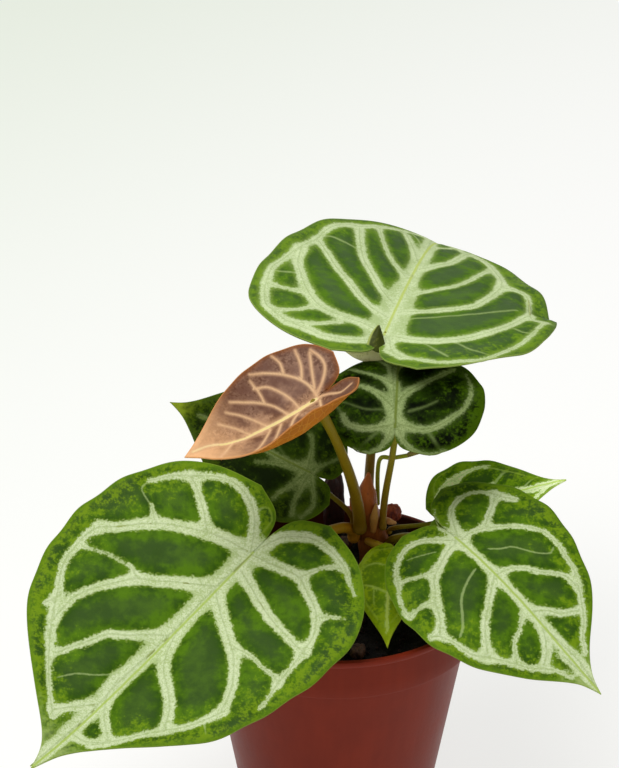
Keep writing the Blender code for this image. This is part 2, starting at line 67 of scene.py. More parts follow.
class Paint:
    # one socket of a material: + - * / add Math nodes, and node() adds any other
    def __init__(self, tree, socket=None):
        self.tree, self.socket = tree, socket

    def node(self, kind, settings=None, inputs=None, output=0):
        made = self.tree.nodes.new(kind)
        for key, value in (settings or {}).items():
            setattr(made, key, value)
        for key, value in (inputs or {}).items():
            if isinstance(value, Paint):
                self.tree.links.new(value.socket, made.inputs[key])
            else:
                made.inputs[key].default_value = value
        return Paint(self.tree, made.outputs[output])

    def maths(self, operation, first, second=0.0):
        return self.node("ShaderNodeMath", {"operation": operation}, {0: first, 1: second})

    def __add__(self, other): return self.maths("ADD", self, other)
    def __radd__(self, other): return self.maths("ADD", other, self)
    def __sub__(self, other): return self.maths("SUBTRACT", self, other)
    def __rsub__(self, other): return self.maths("SUBTRACT", other, self)
    def __mul__(self, other): return self.maths("MULTIPLY", self, other)
    def __rmul__(self, other): return self.maths("MULTIPLY", other, self)
    def __truediv__(self, other): return self.maths("DIVIDE", self, other)

    def larger(self, other):
        return self.maths("MAXIMUM", self, other)

    def size(self):                 # without its sign
        return self.maths("ABSOLUTE", self)

    def ease(self, low, high):      # 0 below low, 1 above high, smooth between
        return self.node("ShaderNodeMapRange", {"interpolation_type": "SMOOTHSTEP"},
                         {"Value": self, "From Min": low, "From Max": high})

    def mix(self, one, other):      # self is the share of the second colour
        def filled(colour): return colour if isinstance(colour, Paint) else (*colour, 1)
        return self.node("ShaderNodeMix", {"data_type": "RGBA"}, {0: self, 6: filled(one), 7: filled(other)}, 2)

    def attribute(self, name):
        return self.node("ShaderNodeAttribute", {"attribute_name": name}, output=2)

    def place(self):
        return self.node("ShaderNodeTexCoord", output=3)

    def axis(self, number):         # one coordinate of the place: 0 x, 1 y, 2 z
        return self.node("ShaderNodeSeparateXYZ", {}, {0: self.place()}, number)

    def noise(self, size, detail=3.0, rough=0.55, stretch=(1, 1, 1)):
        # size is the width of a blotch in metres, and the result is centred on 0
        grain = self.node("ShaderNodeMapping", {}, {0: self.place(), "Scale": stretch})
        return self.node("ShaderNodeTexNoise", {}, {"Vector": grain, "Scale": 1 / size, "Detail": detail,
                                                    "Roughness": rough}) - 0.5

    def network(self, size):        # 0 on the walls between cells of this size, growing inward
        return self.node("ShaderNodeTexVoronoi", {"feature": "DISTANCE_TO_EDGE"},
                         {"Vector": self.place(), "Scale": 1 / size})

    def bump(self, height, strength, distance):
        return self.node("ShaderNodeBump", {}, {"Height": height, "Strength": strength, "Distance": distance})


def srgb(red, green, blue):
    # screen colour 0..255 to light: divide by 255, then the usual 2.4 power curve
    share = np.array([red, green, blue]) / 255
    return tuple(float(v) for v in np.where(share < 0.04045, share / 12.92, ((share + 0.055) / 1.055) ** 2.4))


def newMaterial(name):
    made = bpy.data.materials.new(name)
    made.use_nodes = True
    return made, Paint(made.node_tree), made.node_tree.nodes["Principled BSDF"]


def finishMaterial(paint, shader, links, numbers):
    for key, value in links.items():
        paint.tree.links.new(value.socket, shader.inputs[key])
    for key, value in numbers.items():
        shader.inputs[key].default_value = value


def smoothPath(points, count):
    # each stretch is the cubic through its two points whose slopes come from their neighbours
    points = np.asarray(points, float)
    ends = np.vstack([2 * points[0] - points[1], points, 2 * points[-1] - points[-2]])
    place = np.linspace(0, len(points) - 1, count)
    first = np.minimum(place.astype(int), len(points) - 2)
    t = (place - first)[:, None]
    a, b, c, d = (ends[first + step] for step in range(4))
    return 0.5 * (2 * b + (c - a) * t + (2 * a - 5 * b + 4 * c - d) * t**2 + (3 * b - a - 3 * c + d) * t**3)


def gridFaces(rows, columns, first=0, closed=False):
    # a quad between each grid point and its neighbours in the next row and column
    across = columns if closed else columns - 1
    row, column = np.meshgrid(np.arange(rows - 1), np.arange(across), indexing="ij")
    a = row * columns + column
    b = row * columns + (column + 1) % columns
    return first + np.stack([a, a + columns, b + columns, b], -1).reshape(-1, 4)


def tubeFaces(rings, sides, first=0):
    # the wall, and one face over each end ring
    wall = [tuple(f) for f in gridFaces(rings, sides, first, closed=True)]
    last = first + (rings - 1) * sides
    return wall + [tuple(range(first, first + sides)), tuple(range(last + sides - 1, last - 1, -1))]


def addMesh(name, points, faces, materials, slot, weld=0.0, shell=True, fields=None):
    # shell: one or more closed bodies, whose faces are all turned outward
    mesh = bpy.data.meshes.new(name)
    mesh.from_pydata(np.asarray(points).reshape(-1, 3).tolist(), [], [list(map(int, f)) for f in faces])
    for key, values in (fields or {}).items():
        mesh.attributes.new(key, "FLOAT", "POINT").data.foreach_set("value", np.asarray(values, np.float32).ravel())
    shape = bmesh.new()
    shape.from_mesh(mesh)
    if weld:
        bmesh.ops.remove_doubles(shape, verts=shape.verts, dist=weld)
    if shell:
        bmesh.ops.recalc_face_normals(shape, faces=shape.faces)
    shape.to_mesh(mesh)
    shape.free()
    mesh.polygons.foreach_set("use_smooth", np.ones(len(mesh.polygons), bool))
    for look in materials:
        mesh.materials.append(look)
    obj = bpy.data.objects.new(name, mesh)
    bpy.context.scene.collection.objects.link(obj)
    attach(obj, body)
    return obj


def sweep(path, radii, sides):
    # rings of the given radii, square to the path, each turned as little as possible from the last
    path, radii = np.asarray(path, float), np.asarray(radii, float)
    way = np.gradient(path, axis=0)
    way /= np.linalg.norm(way, axis=1, keepdims=True)
    across = np.empty_like(path)
    start = np.cross(way[0], (0, 0, 1) if abs(way[0][2]) < 0.9 else (1, 0, 0))
    across[0] = start / np.linalg.norm(start)
    for step in range(1, len(path)):
        turned = across[step - 1] - way[step] * (across[step - 1] @ way[step])
        across[step] = turned / np.linalg.norm(turned)
    other = np.cross(way, across)
    angle = np.linspace(0, 2 * math.pi, sides, endpoint=False)
    circle = np.cos(angle)[None, :, None] * across[:, None] + np.sin(angle)[None, :, None] * other[:, None]
    return path[:, None] + circle * radii.reshape(len(path), -1, 1)


def roundEnds(path, radii, steps=4):
    # rings on a quarter circle at both ends: radius r cos a at r sin a beyond the path
    path, radii = np.asarray(path, float), np.asarray(radii, float)
    turn = np.linspace(0, math.pi / 2, steps + 1)[1:]
    size = np.maximum(np.cos(turn), 0.04)
    ahead, behind = path[-1] - path[-2], path[0] - path[1]
    ahead, behind = ahead / np.linalg.norm(ahead), behind / np.linalg.norm(behind)
    front = path[-1] + ahead * (radii[-1] * np.sin(turn))[:, None]
    back = path[0] + behind * (radii[0] * np.sin(turn))[:, None]
    return np.vstack([back[::-1], path, front]), np.concatenate([radii[0] * size[::-1], radii, radii[-1] * size])


potSize = {
    "height": 0.105, "rim": 0.0600, "bandHeight": 0.018, "bandFoot": 0.0598, "wallTop": 0.0545,
    "base": 0.0396, "wall": 0.0016, "floor": 0.0025, "lipHeight": 0.0028, "lipProud": 0.0009,
    "bevel": 0.0010, "holes": 6, "holeRadius": 0.0045, "holeRing": 0.026, "turns": 160,
    "clay": srgb(112, 34, 16), "lit": srgb(124, 40, 20), "scuff": srgb(176, 96, 70),
    "insideDark": srgb(44, 22, 14),
}


def potMaterial():
    made, paint, shader = newMaterial("terracottaPlastic")
    cloud, grain = paint.noise(0.016, 3), paint.noise(0.0013, 2)
    streak = paint.noise(0.004, 2, stretch=(1, 1, 0.08))
    # clay and lit are mixed in random clouds and streaks
    colour = (cloud * 0.9 + streak * 0.5 + 0.5).ease(0.1, 0.9).mix(potSize["clay"], potSize["lit"])
    # paler along the rim's top: partly real scuffing, partly a painted highlight on the lip
    scuff = (grain + cloud * 0.6 - 0.30).ease(0.0, 0.16) * (paint.axis(2) - 0.101).ease(0.0, 0.003)
    colour = (scuff * 0.5).mix(colour, potSize["scuff"])
    # the inside of the wall, from just below the soil's edge up to the rim, is darker brown
    reach = paint.axis(0) * paint.axis(0) + paint.axis(1) * paint.axis(1)
    insideDark = (1 - (reach + grain * 0.0001).ease(0.0588**2, 0.0591**2)) * (paint.axis(2) - 0.0874).ease(0.0, 0.001)
    colour = (insideDark * 0.8).mix(colour, potSize["insideDark"])
    finishMaterial(paint, shader, {
        "Base Color": colour, "Roughness": 0.42 + cloud * 0.16 + grain * 0.10,
        "Normal": paint.bump(grain * 0.6 + streak, 0.25, 0.0002),
    }, {"IOR": 1.46, "Specular IOR Level": 0.12})
    return made


def potSection():
    # the wall cut through: inside from the middle up, over the lip, and down the outside
    size = potSize
    bevel, rim, wall = size["bevel"], size["rim"], size["wall"]
    lift, lipFoot = size["height"] - size["bandHeight"], size["height"] - size["lipHeight"]
    lip, top, foot = rim + size["lipProud"], size["height"], size["bandFoot"]

    def wallAt(z): return size["base"] + (size["wallTop"] - size["base"]) * z / lift

    inside = [
        (0.0004, size["floor"]), (0.020, size["floor"]), (wallAt(size["floor"]) - wall - 2 * bevel, size["floor"]),
        (wallAt(bevel) - wall, size["floor"] + 1.4 * bevel), (wallAt(0.03) - wall, 0.03),
        (wallAt(0.06) - wall, 0.06), (wallAt(lift) - wall - 0.0002, lift),
        (rim - wall - 0.0006, lift + wall * 1.6), (rim - wall, lift + wall * 2.6), (rim - wall, top - 0.002),
        (rim - wall + 0.0001, top - 0.0005), (rim - wall + 0.0006, top),
    ]
    over = [
        (lip - 0.0010, top), (lip - 0.0003, top - 0.0003), (lip, top - 0.0010), (lip - 0.0001, lipFoot + 0.0006),
        (lip - 0.0005, lipFoot), (rim - 0.0002, lipFoot - 0.0002), (rim - 0.0002, lipFoot - 0.0012),
    ]
    outside = [
        (foot - 0.0001, lift + 0.006), (foot, lift + 0.0010), (foot - 0.0003, lift + 0.0002),
        (foot - 0.0010, lift), (size["wallTop"] + 0.0006, lift), (size["wallTop"], lift - 0.0006),
        (wallAt(0.06), 0.06), (wallAt(0.03), 0.03), (wallAt(0.004), 0.004), (size["base"] + 0.0001, 0.0010),
        (size["base"] - 0.0003, 0.0003), (size["base"] - 0.0010, 0.0), (size["base"] - 0.0040, 0.0),
        (0.020, 0.0), (0.0004, 0.0),
    ]
    return np.array(inside + over + outside)


def drainCutter(number):
    turn = 2 * math.pi * (number + 0.5) / potSize["holes"]
    mesh, shape = bpy.data.meshes.new("drainCutter"), bmesh.new()
    bmesh.ops.create_cone(shape, cap_ends=True, segments=28, radius1=potSize["holeRadius"],
                          radius2=potSize["holeRadius"], depth=potSize["floor"] * 4)
    place = (potSize["holeRing"] * math.cos(turn), potSize["holeRing"] * math.sin(turn), 0)
    bmesh.ops.translate(shape, verts=shape.verts, vec=place)
    shape.to_mesh(mesh)
    shape.free()
    cutter = bpy.data.objects.new("drainCutter", mesh)
    bpy.context.scene.collection.objects.link(cutter)
    return cutter


def buildPot():
    # the section turned about Z: radius r at height z becomes (r cos a, r sin a, z)
    section, turns = potSection(), potSize["turns"]
    angle = np.linspace(0, 2 * math.pi, turns, endpoint=False)
    points = np.stack([section[:, :1] * np.cos(angle), section[:, :1] * np.sin(angle),
                       np.broadcast_to(section[:, 1:], (len(section), turns))], -1)
    pot = addMesh("potShell", points, tubeFaces(len(section), turns), [potMaterial()], "terracotta_plastic")
    bpy.context.view_layer.objects.active = pot
    for number in range(potSize["holes"]):
        cutter = drainCutter(number)
        hole = pot.modifiers.new("hole", "BOOLEAN")
        hole.object, hole.operation, hole.solver = cutter, "DIFFERENCE", "EXACT"
        bpy.ops.object.modifier_apply(modifier=hole.name)
        bpy.data.objects.remove(cutter)
    pot.select_set(True)
    bpy.ops.object.shade_smooth_by_angle(angle=math.radians(35))
    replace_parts(pot, "pot")


buildPot()
print("pot made")


soilSize = {
    "edge": 0.0945, "rise": 0.0055, "wide": 0.0584, "radius": 0.0580, "grain": 0.0011,
    "lump": (0.0205, 0.0390, 0.0965), "lumpRadii": (0.0125, 0.0105, 0.0130), "stem": (0.0158, 0.0240),
    "crumbs": 620, "crumbSize": (0.0006, 0.0021), "rings": 110, "turns": 260,
}


def soilMaterial(name, dark, light, fleck, amount):
    made, paint, shader = newMaterial(name)
    blotch, grain, fine = paint.noise(0.0060, 4), paint.noise(0.0012, 4, 0.7), paint.noise(0.0005, 2)
    colour = (blotch * 0.8 + grain + 0.42).ease(0.2, 1.0).mix(dark, light)
    colour = (grain + fine * 0.7 - amount).ease(0.0, 0.07).mix(colour, fleck)
    finishMaterial(paint, shader, {
        "Base Color": colour, "Roughness": 0.9 + fine * 0.15,
        "Normal": paint.bump(grain + fine * 0.5, 0.9, 0.0007),
    }, {"Specular IOR Level": 0.25})
    return made


def soilTop(x, y):
    # the CAD's dome, and its lump, an ellipsoid set into it
    top = soilSize["edge"] + soilSize["rise"] * np.clip(1 - (np.hypot(x, y) / soilSize["wide"]) ** 2, 0, 1)
    cx, cy, cz = soilSize["lump"]
    rx, ry, rz = soilSize["lumpRadii"]
    inside = 1 - ((x - cx) / rx) ** 2 - ((y - cy) / ry) ** 2
    return np.maximum(top, np.where(inside > 0, cz + rz * np.sqrt(np.clip(inside, 0, 1)), 0))


def waves(x, y, size, seed):
    # the mean of eight plane waves whose directions, lengths and phases come from the seed
    pick = np.random.default_rng(seed)
    total = 0
    for _ in range(8):
        turn, phase, length = pick.uniform(0, 6.28), pick.uniform(0, 6.28), pick.uniform(0.7, 1.6) * size
        total = total + np.sin((x * math.cos(turn) + y * math.sin(turn)) * 2 * math.pi / length + phase)
    return total / 8


def buildSoil():
    # the top is a disc of rings raised by soilTop and three sizes of waves; then straight sides
    share = np.linspace(0.002, 1, soilSize["rings"])[:, None]
    angle = np.linspace(0, 2 * math.pi, soilSize["turns"], endpoint=False)[None]
    x, y = soilSize["radius"] * share * np.cos(angle), soilSize["radius"] * share * np.sin(angle)
    rough = waves(x, y, 0.0048, 1) * 0.8 + waves(x, y, 0.0021, 2) * 0.6 + waves(x, y, 0.0011, 3) * 0.35
    stemX, stemY = soilSize["stem"]
    away = np.clip((np.hypot(x - stemX, y - stemY) - 0.0066) / 0.002, 0, 1)   # quiet beside the stem
    z = soilTop(x, y) + (rough - 0.55) * soilSize["grain"] * (0.25 + 0.75 * away)
    below = [(soilSize["radius"], 0.0905), (0.0524, 0.0868), (0.0379, 0.0042), (0.0368, 0.0029), (0.0008, 0.0029)]
    sides = [np.stack([r * np.cos(angle[0]), r * np.sin(angle[0]), 0 * angle[0] + h], -1) for r, h in below]
    points = np.concatenate([np.stack([x, y, z], -1), sides])
    look = soilMaterial("pottingSoil", srgb(9, 7, 7), srgb(40, 30, 24), srgb(112, 92, 66), 0.30)
    faces = tubeFaces(soilSize["rings"] + len(below), soilSize["turns"])
    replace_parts(addMesh("soilBed", points, faces, [look], "potting_soil"), "soil")


def crumbMesh(pick, count):
    # each crumb is a small box of 26 points pushed out to a ball, dented, squashed and turned
    steps = (-1, 0, 1)
    cube = np.array([(i, j, k) for i in steps for j in steps for k in steps if (i, j, k) != (0, 0, 0)], float)
    base = cube / np.linalg.norm(cube, axis=1, keepdims=True)
    index = {tuple(map(int, corner)): number for number, corner in enumerate(cube)}
    faces = []
    for axis in range(3):
        for sign in (-1, 1):
            for a in (-1, 0):
                for b in (-1, 0):
                    corners = []
                    for da, db in ((0, 0), (1, 0), (1, 1), (0, 1)):
                        spot = [0, 0, 0]
                        spot[axis], spot[(axis + 1) % 3], spot[(axis + 2) % 3] = sign, a + da, b + db
                        corners.append(index[tuple(spot)])
                    faces.append(corners if sign > 0 else corners[::-1])
    low, high = soilSize["crumbSize"]
    size = low + (high - low) * pick.random(count) ** 3
    radius, turn = 0.0565 * np.sqrt(pick.random(count)), pick.uniform(0, 6.28, count)
    x, y = radius * np.cos(turn), radius * np.sin(turn)
    keep = np.hypot(x - soilSize["stem"][0], y - soilSize["stem"][1]) > 0.0085
    x, y, size = x[keep], y[keep], size[keep]
    count = len(x)
    dents = 1 + 0.28 * pick.uniform(-1, 1, (count, len(base), 1))
    squash = pick.uniform(0.45, 1.0, (count, 1, 3))
    frames = np.linalg.qr(pick.normal(size=(count, 3, 3)))[0]
    frames *= np.sign(np.linalg.det(frames))[:, None, None]
    local = (base[None] * dents * squash * size[:, None, None]) @ frames
    centre = np.stack([x, y, soilTop(x, y) + size * 0.15], -1)
    allFaces = (np.array(faces)[None] + (np.arange(count) * len(base))[:, None, None]).reshape(-1, 4)
    return (local + centre[:, None]).reshape(-1, 3), allFaces


buildSoil()
addMesh("soilCrumbs", *crumbMesh(np.random.default_rng(11), soilSize["crumbs"]),
        [soilMaterial("soilCrumb", srgb(18, 11, 9), srgb(74, 44, 30), srgb(150, 120, 84), 0.34)], "potting_soil")
print("soil made")


# The blades have the CAD's own form. Half widths are taken at these shares of the blade's length in
# front of the stalk, and of the lobe's length behind it. A vein is its width at each end and then
# its path, all in millimetres: along the midrib from the stalk, and across it, left positive. A
# swell is a soft bump: its place along and across, its radius and its height, in millimetres. A lip
# is a margin that curls up: which half, from and to where along the midrib, and how high.
stations = (-1.0, -0.72, 0.0, 0.2, 0.4, 0.6, 0.78, 0.9)
notch = ((-1.0, 1.0), (-0.8, 0.28), (-0.45, 0.03), (0.0, 0.0))
leaves = {
    "leaf_top": {
        "at": (0.0189, 0.0338, 0.2006), "turn": (76.8, 0.8, 2.7), "length": 0.137,
        "lobes": (0.15, 0.20), "droop": 0.96, "tipTurn": 0.56, "fold": 0.12,
        "curl": (-0.3, 2.7), "twist": 0.24, "wave": (0.0010, 5, 0.4), "cells": (20, 8),
        "left": (0.0175, 0.0385, 0.0575, 0.0595, 0.0545, 0.0435, 0.0215, 0.006),
        "right": (0.019, 0.0385, 0.0590, 0.0662, 0.0610, 0.0455, 0.0235, 0.006),
        "tone": "grey", "broaden": 0.5, "swells": ((50, -62, 10, -5.0), (27, -62, 8, 3.0)),
        "veins": [
            (15, 9, (2, 0), (20, 0), (44, 0)),
            (8.1, 5.1, (0, 0), (16, 0), (39, 0), (67, 0), (92, 0), (125, 3)),
            (4.4, 2, (-3, 1), (-8, 7), (-11, 14), (-12, 22), (-10, 31), (-8, 39), (-4, 46), (0, 50),
             (10, 53), (18, 54), (28, 54), (40, 51), (48, 48)),
            (2.1, 2.5, (48, 48), (59, 44), (71, 42), (80, 38), (87, 32)),
            (6.1, 3, (1, 2), (5, 10), (6, 18), (8, 26), (12, 32), (20, 38), (28, 42), (38, 46), (47, 47)),
            (1, 0.8, (28, 44), (25, 49), (24, 55)),
            (1.4, 0.9, (16, 39), (15, 46), (15, 53)),
            (1.4, 1, (7, 32), (1, 38), (-2, 44), (-3, 48)),
            (1.5, 1, (1, 19), (-4, 26), (-7, 33), (-9, 39)),
            (3.5, 2.5, (15, 2), (20, 10), (27, 17), (35, 23), (44, 31), (52, 37), (60, 43)),
            (2.7, 3.5, (28, 2), (37, 9), (47, 15), (57, 21), (70, 26), (84, 30)),
            (0.9, 0.9, (65, 25), (66, 32), (67, 38), (66, 42)),
            (1.4, 1.3, (56, 3), (67, 11), (79, 17), (95, 23)),
            (3.2, 2.6, (76, 1), (90, 6), (104, 12)),
            (3.6, 2.6, (67, -2), (74, -7), (84, -13), (108, -17)),
            (2.9, 3.3, (108, -15), (103, -20), (92, -28), (77, -35), (64, -38)),
            (2.3, 0.6, (64, -38), (64, -44), (60, -50), (44, -53), (34, -55), (31, -58), (30, -62)),
            (1.7, 1.4, (40, -4), (45, -10), (53, -18), (64, -24), (83, -29)),
            (3.1, 3.1, (22, -5), (25, -14), (31, -24), (37, -31), (49, -35), (65, -38)),
            (0.8, 0.6, (15, -6), (18, -16), (24, -27), (32, -38), (39, -48)),
            (5, 3, (-1, -5), (-3, -13), (-2, -23), (2, -31), (8, -38), (17, -45), (29, -50), (38, -54)),
            (1.6, 0.8, (-13, -4), (-18, -11), (-20, -19), (-21, -27), (-18, -37), (-14, -45), (0, -52),
             (11, -57), (29, -61)),
            (0.8, 0.8, (-5, -17), (-11, -23), (-16, -29)),
            (0.9, 0.6, (-2, -30), (-8, -37), (-11, -45)),
            (0.8, 0.6, (19, -50), (16, -54), (17, -60)),
            (3, 1.2, (-4, -3), (-13, -6), (-19, -11)),
            (2, 1.6, (87, 31), (97, 24), (107, 15), (117, 8), (127, 3)),
            (2.4, 1.4, (108, -15), (116, -9), (126, -3)),
            (1.3, 1, (92, 0), (106, 8), (114, 15)),
            (1.4, 1, (98, 0), (108, -7), (116, -12)),
        ],
    },
    "leaf_copper": {
        "at": (-0.0079, -0.0213, 0.2017), "turn": (206.0, -28.0, -17.0), "length": 0.061,
        "lobes": (0.28, 0.27), "droop": -13.5, "tipTurn": 0.28, "fold": 0.23,
        "curl": (-33.0, -4.0), "twist": -0.2, "wave": (0.0004, 4, 1.0), "cells": (12, 8),
        "left": (0.009, 0.0205, 0.028, 0.032, 0.030, 0.025, 0.010, 0.003),
        "right": (0.0105, 0.0203, 0.0255, 0.0264, 0.0237, 0.0183, 0.0096, 0.004),
        "tone": "copper", "lips": ((0, -14, 52, 4.5),), "veins": [
            (1.4, 0.5, (1, 0.5), (8.5, 0), (17.5, 0), (27, 0), (34.5, 0.5), (41.5, 0), (49, -1.5),
             (57, -1)),
            (0.8, 0.5, (0, -1), (-5.5, -4), (-10, -8), (-11, -12.5), (-10, -17)),
            (0.5, 0.3, (-1, -3.5), (-4.5, -9.5), (-9, -16.5)),
            (0.5, 0.3, (0, -10.5), (-3, -15), (-5, -21)),
            (0.5, 0.3, (5, -16), (3.5, -20.5), (4.5, -24.5)),
            (0.8, 0.4, (0, -1), (0, -6.5), (2, -11.5), (6.5, -16.5), (12, -20.5), (17.5, -22.5)),
            (0.5, 0.3, (8.5, 0), (9, -5), (11, -10.5), (14.5, -15), (19.5, -16.5)),
            (0.4, 0.3, (19, -9.5), (18.5, -14.5), (19, -20)),
            (0.6, 0.4, (13.5, -0.5), (16.5, -6.5), (22, -11), (28, -14), (32, -15.5)),
            (0.5, 0.3, (23, 0), (27, -5), (31, -9), (36, -12)),
            (0.5, 0.3, (31.5, -0.5), (35.5, -4.5), (41.5, -8.5)),
            (0.6, 0.5, (10.5, 1.5), (14.5, 4.5), (20.5, 11.5)),
            (0.4, 0.3, (18.5, 2), (23, 7), (29, 13.5)),
            (0.5, 0.4, (23.5, 2), (30, 8), (36.5, 12.5)),
            (0.5, 0.4, (39, 0), (44.5, 4), (49.5, 7.5)),
            (1.1, 0.5, (-0.5, 0.5), (-4, 3.5), (-8, 8.5), (-13, 9.5)),
            (0.8, 0.4, (0.5, 2.5), (2.5, 8), (5, 11.5)),
        ],
    },
    "leaf_back_left": {
        "at": (-0.0114, 0.0082, 0.1514), "turn": (167.0, 24.0, -34.0), "length": 0.063,
        "lobes": (0.21, 0.205), "droop": 0.5, "tipTurn": 0.0, "fold": 0.10,
        "curl": (2.8, 2.7), "twist": 0.0, "wave": (0.0007, 4, 2.0), "cells": (12, 6),
        "left": (0.009, 0.019, 0.0254, 0.0287, 0.0268, 0.0203, 0.0088, 0.0026),
        "right": (0.008, 0.0187, 0.0268, 0.0295, 0.0271, 0.0225, 0.0102, 0.003),
        "tone": "shade", "veins": [
            (2.8, 1.1, (1, 0), (8.5, 0.5), (17, 0), (31.5, -1), (40.5, -0.5), (50, -0.5)),
            (2.3, 1, (1, -1), (2.5, -7), (4, -11.5), (6.5, -15)),
            (1.5, 0.6, (0, -0.5), (-4, -5.5), (-7.5, -10), (-9, -13)),
            (2.4, 1.3, (1, 1), (3.5, 7.5), (6.5, 13.5), (8.5, 18.5)),
            (1.8, 1, (0, 1.5), (0, 9), (0, 15), (-1.5, 21)),
            (2.1, 1, (-0.5, 1), (-4, 5.5), (-7, 11), (-7, 16), (-5, 20)),
            (2.4, 0.8, (4, 0), (9, 1.5), (15, 4), (21, 7)),
            (1.1, 0.6, (8.5, 0.5), (14.5, -3), (19.5, -5.5)),
            (0.9, 0.7, (-8.5, -11), (-4, -17.5), (6, -22), (17, -22), (30, -19), (42, -13), (51, -6)),
            (0.9, 0.7, (-6, 20), (3, 25), (16, 25), (30, 21), (42, 14), (51, 7)),
            (1.2, 0.8, (17, 0), (24, -8), (31, -17)),
            (1.2, 0.8, (24, 0), (31, 9), (38, 16)),
            (1, 0.7, (32, -1), (38, -7), (43, -11)),
            (1, 0.7, (36, 0), (41, 5), (45, 10)),
        ],
    },
    "leaf_front_left": {
        "at": (-0.0335, -0.0318, 0.1376), "turn": (223.6, -25.0, -19.0), "length": 0.125,
        "lobes": (0.218, 0.188), "droop": -0.4, "tipTurn": -0.3, "fold": 0.25,
        "curl": (4.8, 2.7), "twist": 0.09, "wave": (0.0010, 6, 0.0), "cells": (20, 8),
        "left": (0.0176, 0.0399, 0.0574, 0.0594, 0.0544, 0.0450, 0.0202, 0.0050),
        "right": (0.0163, 0.0382, 0.0547, 0.0632, 0.0622, 0.0515, 0.0255, 0.0062),
        "tone": "green", "veins": [
            (9.2, 5.8, (1, 0), (18, -1), (34, -1), (51, -1), (74, -2), (93, -1), (111, -1), (124, -1)),
            (4.5, 2.1, (0, -1), (-6, -5), (-12, -10), (-16, -17), (-17, -25), (-14, -32), (-8, -39),
             (-2, -46), (5, -51)),
            (0.7, 0.4, (5, -51), (10, -50), (13, -41)),
            (6.3, 4.2, (1, -2), (3, -11), (6, -19), (10, -26), (15, -34), (21, -41), (28, -47), (33, -52)),
            (3.2, 3.2, (33, -52), (40, -54), (49, -53), (57, -50), (63, -46), (72, -40), (80, -34)),
            (2.3, 1.5, (80, -34), (87, -28), (93, -22), (100, -14), (103, -10)),
            (3.4, 3.2, (6, -19), (1, -25), (-3, -31), (-6, -36), (-7, -40)),
            (0.9, 0.8, (-10, -8), (-15, -10), (-18, -8), (-16, -4), (-12, -3), (-6, -3)),
            (5.7, 2.9, (20, -1), (24, -6), (29, -13), (34, -19), (39, -26), (47, -32), (54, -36),
             (61, -39), (68, -39), (74, -38)),
            (1.4, 0.9, (39, -26), (37, -31), (38, -37), (39, -42), (41, -47), (43, -52)),
            (1.8, 0.5, (64, -44), (68, -45), (71, -46)),
            (4.4, 2.2, (48, -1), (53, -7), (59, -13), (64, -19), (71, -22), (77, -25), (83, -28)),
            (0.6, 0.5, (72, -4), (79, -10), (84, -16), (90, -20)),
            (4.6, 3.3, (88, -2), (94, -7), (101, -12)),
            (5.8, 1.2, (1, 0), (0, 8), (-1, 15), (-2, 23), (1, 30), (5, 38), (9, 42), (16, 46), (24, 47),
             (33, 48), (40, 49), (46, 50), (51, 50)),
            (6.8, 0.9, (0, 0), (-6, 2), (-12, 5), (-17, 12), (-19, 19), (-18, 28), (-16, 35), (-12, 41),
             (-9, 46)),
            (2.1, 1.4, (-3, 24), (-9, 27), (-13, 30), (-15, 34)),
            (2.3, 0.5, (7, 41), (4, 45), (1, 50)),
            (5.8, 3.1, (9, 2), (13, 12), (16, 19), (19, 28), (21, 38), (22, 44), (22, 48)),
            (6.3, 3.4, (22, 0), (29, 10), (36, 21), (41, 28), (48, 34), (55, 38), (61, 40)),
            (1.8, 1.7, (37, 25), (36, 32), (37, 39), (37, 45), (39, 49)),
            (6.2, 3.9, (44, 0), (54, 4), (61, 9), (66, 16), (72, 23), (80, 28)),
            (3.3, 2.3, (61, 41), (69, 37), (76, 33), (81, 29), (88, 23), (96, 17), (103, 11)),
            (4.6, 3.3, (74, -3), (83, -1), (91, 6), (97, 14)),
            (1, 0.5, (68, 37), (72, 42)),
            (0.9, 1.6, (12, -43), (16, -38)),
            (3.8, 1.8, (103, -1), (103, 8), (98, 15)),
        ],
    },
    "leaf_back_middle": {
        "at": (0.0225, -0.0085, 0.1814), "turn": (86.0, 39.0, 0.0), "length": 0.050,
        "lobes": (0.232, 0.224), "droop": 18.0, "tipTurn": 0.0, "fold": 0.01,
        "curl": (4.2, 3.6), "twist": -0.09, "wave": (0.0008, 4, 0.7), "cells": (12, 6),
        "left": (0.0095, 0.0200, 0.0295, 0.0328, 0.0315, 0.0230, 0.0110, 0.0035),
        "right": (0.0140, 0.0245, 0.0325, 0.0352, 0.0350, 0.0285, 0.0160, 0.0055),
        "tone": "dusk", "veins": [
            (4.6, 3.3, (1.5, 0), (7.5, 0.5), (14, 1), (21, 1.5), (30.5, 2.5)),
            (3.7, 0.5, (1.5, -0.5), (0.5, -5), (-0.5, -11), (1, -16.5), (4, -21), (8, -25.5),
             (13.5, -28.5), (17.5, -29.5), (22.5, -29), (26.5, -27.5)),
            (2.2, 0.8, (0, -1), (-5.5, -3.5), (-9, -7), (-10.5, -11.5), (-10.5, -16), (-9, -20)),
            (1.3, 1.3, (-1, -13), (-5, -15.5), (-8, -17.5)),
            (4, 1.6, (9, 0.5), (15.5, -3.5), (20, -9), (25, -15.5), (29.5, -22)),
            (1.1, 0.4, (7, -5.5), (9, -11), (12, -16)),
            (3.2, 2, (1, 1), (0, 5), (-1, 10.5), (-0.5, 15), (1, 19), (5, 21)),
            (2.2, 0.7, (-0.5, 1.5), (-5.5, 3), (-9, 6), (-11, 10), (-10.5, 14), (-9.5, 16)),
            (1.2, 1.1, (-1.5, 6), (-5, 9.5), (-8.5, 13)),
            (4, 1.7, (9, 1.5), (14, 6), (17.5, 10), (19.5, 15)),
            (0.7, 0.3, (7.5, 5.5), (7.5, 12), (10.5, 20.5)),
            (1, 0.7, (26, -27), (34, -22), (42, -13), (47, -4)),
            (1, 0.7, (5, 21), (12, 25), (24, 26), (34, 21), (42, 12), (47, 4)),
            (1.6, 1, (20, 1), (26, 10), (31, 20)),
            (1.4, 1, (31, 1), (36, 8), (39, 14)),
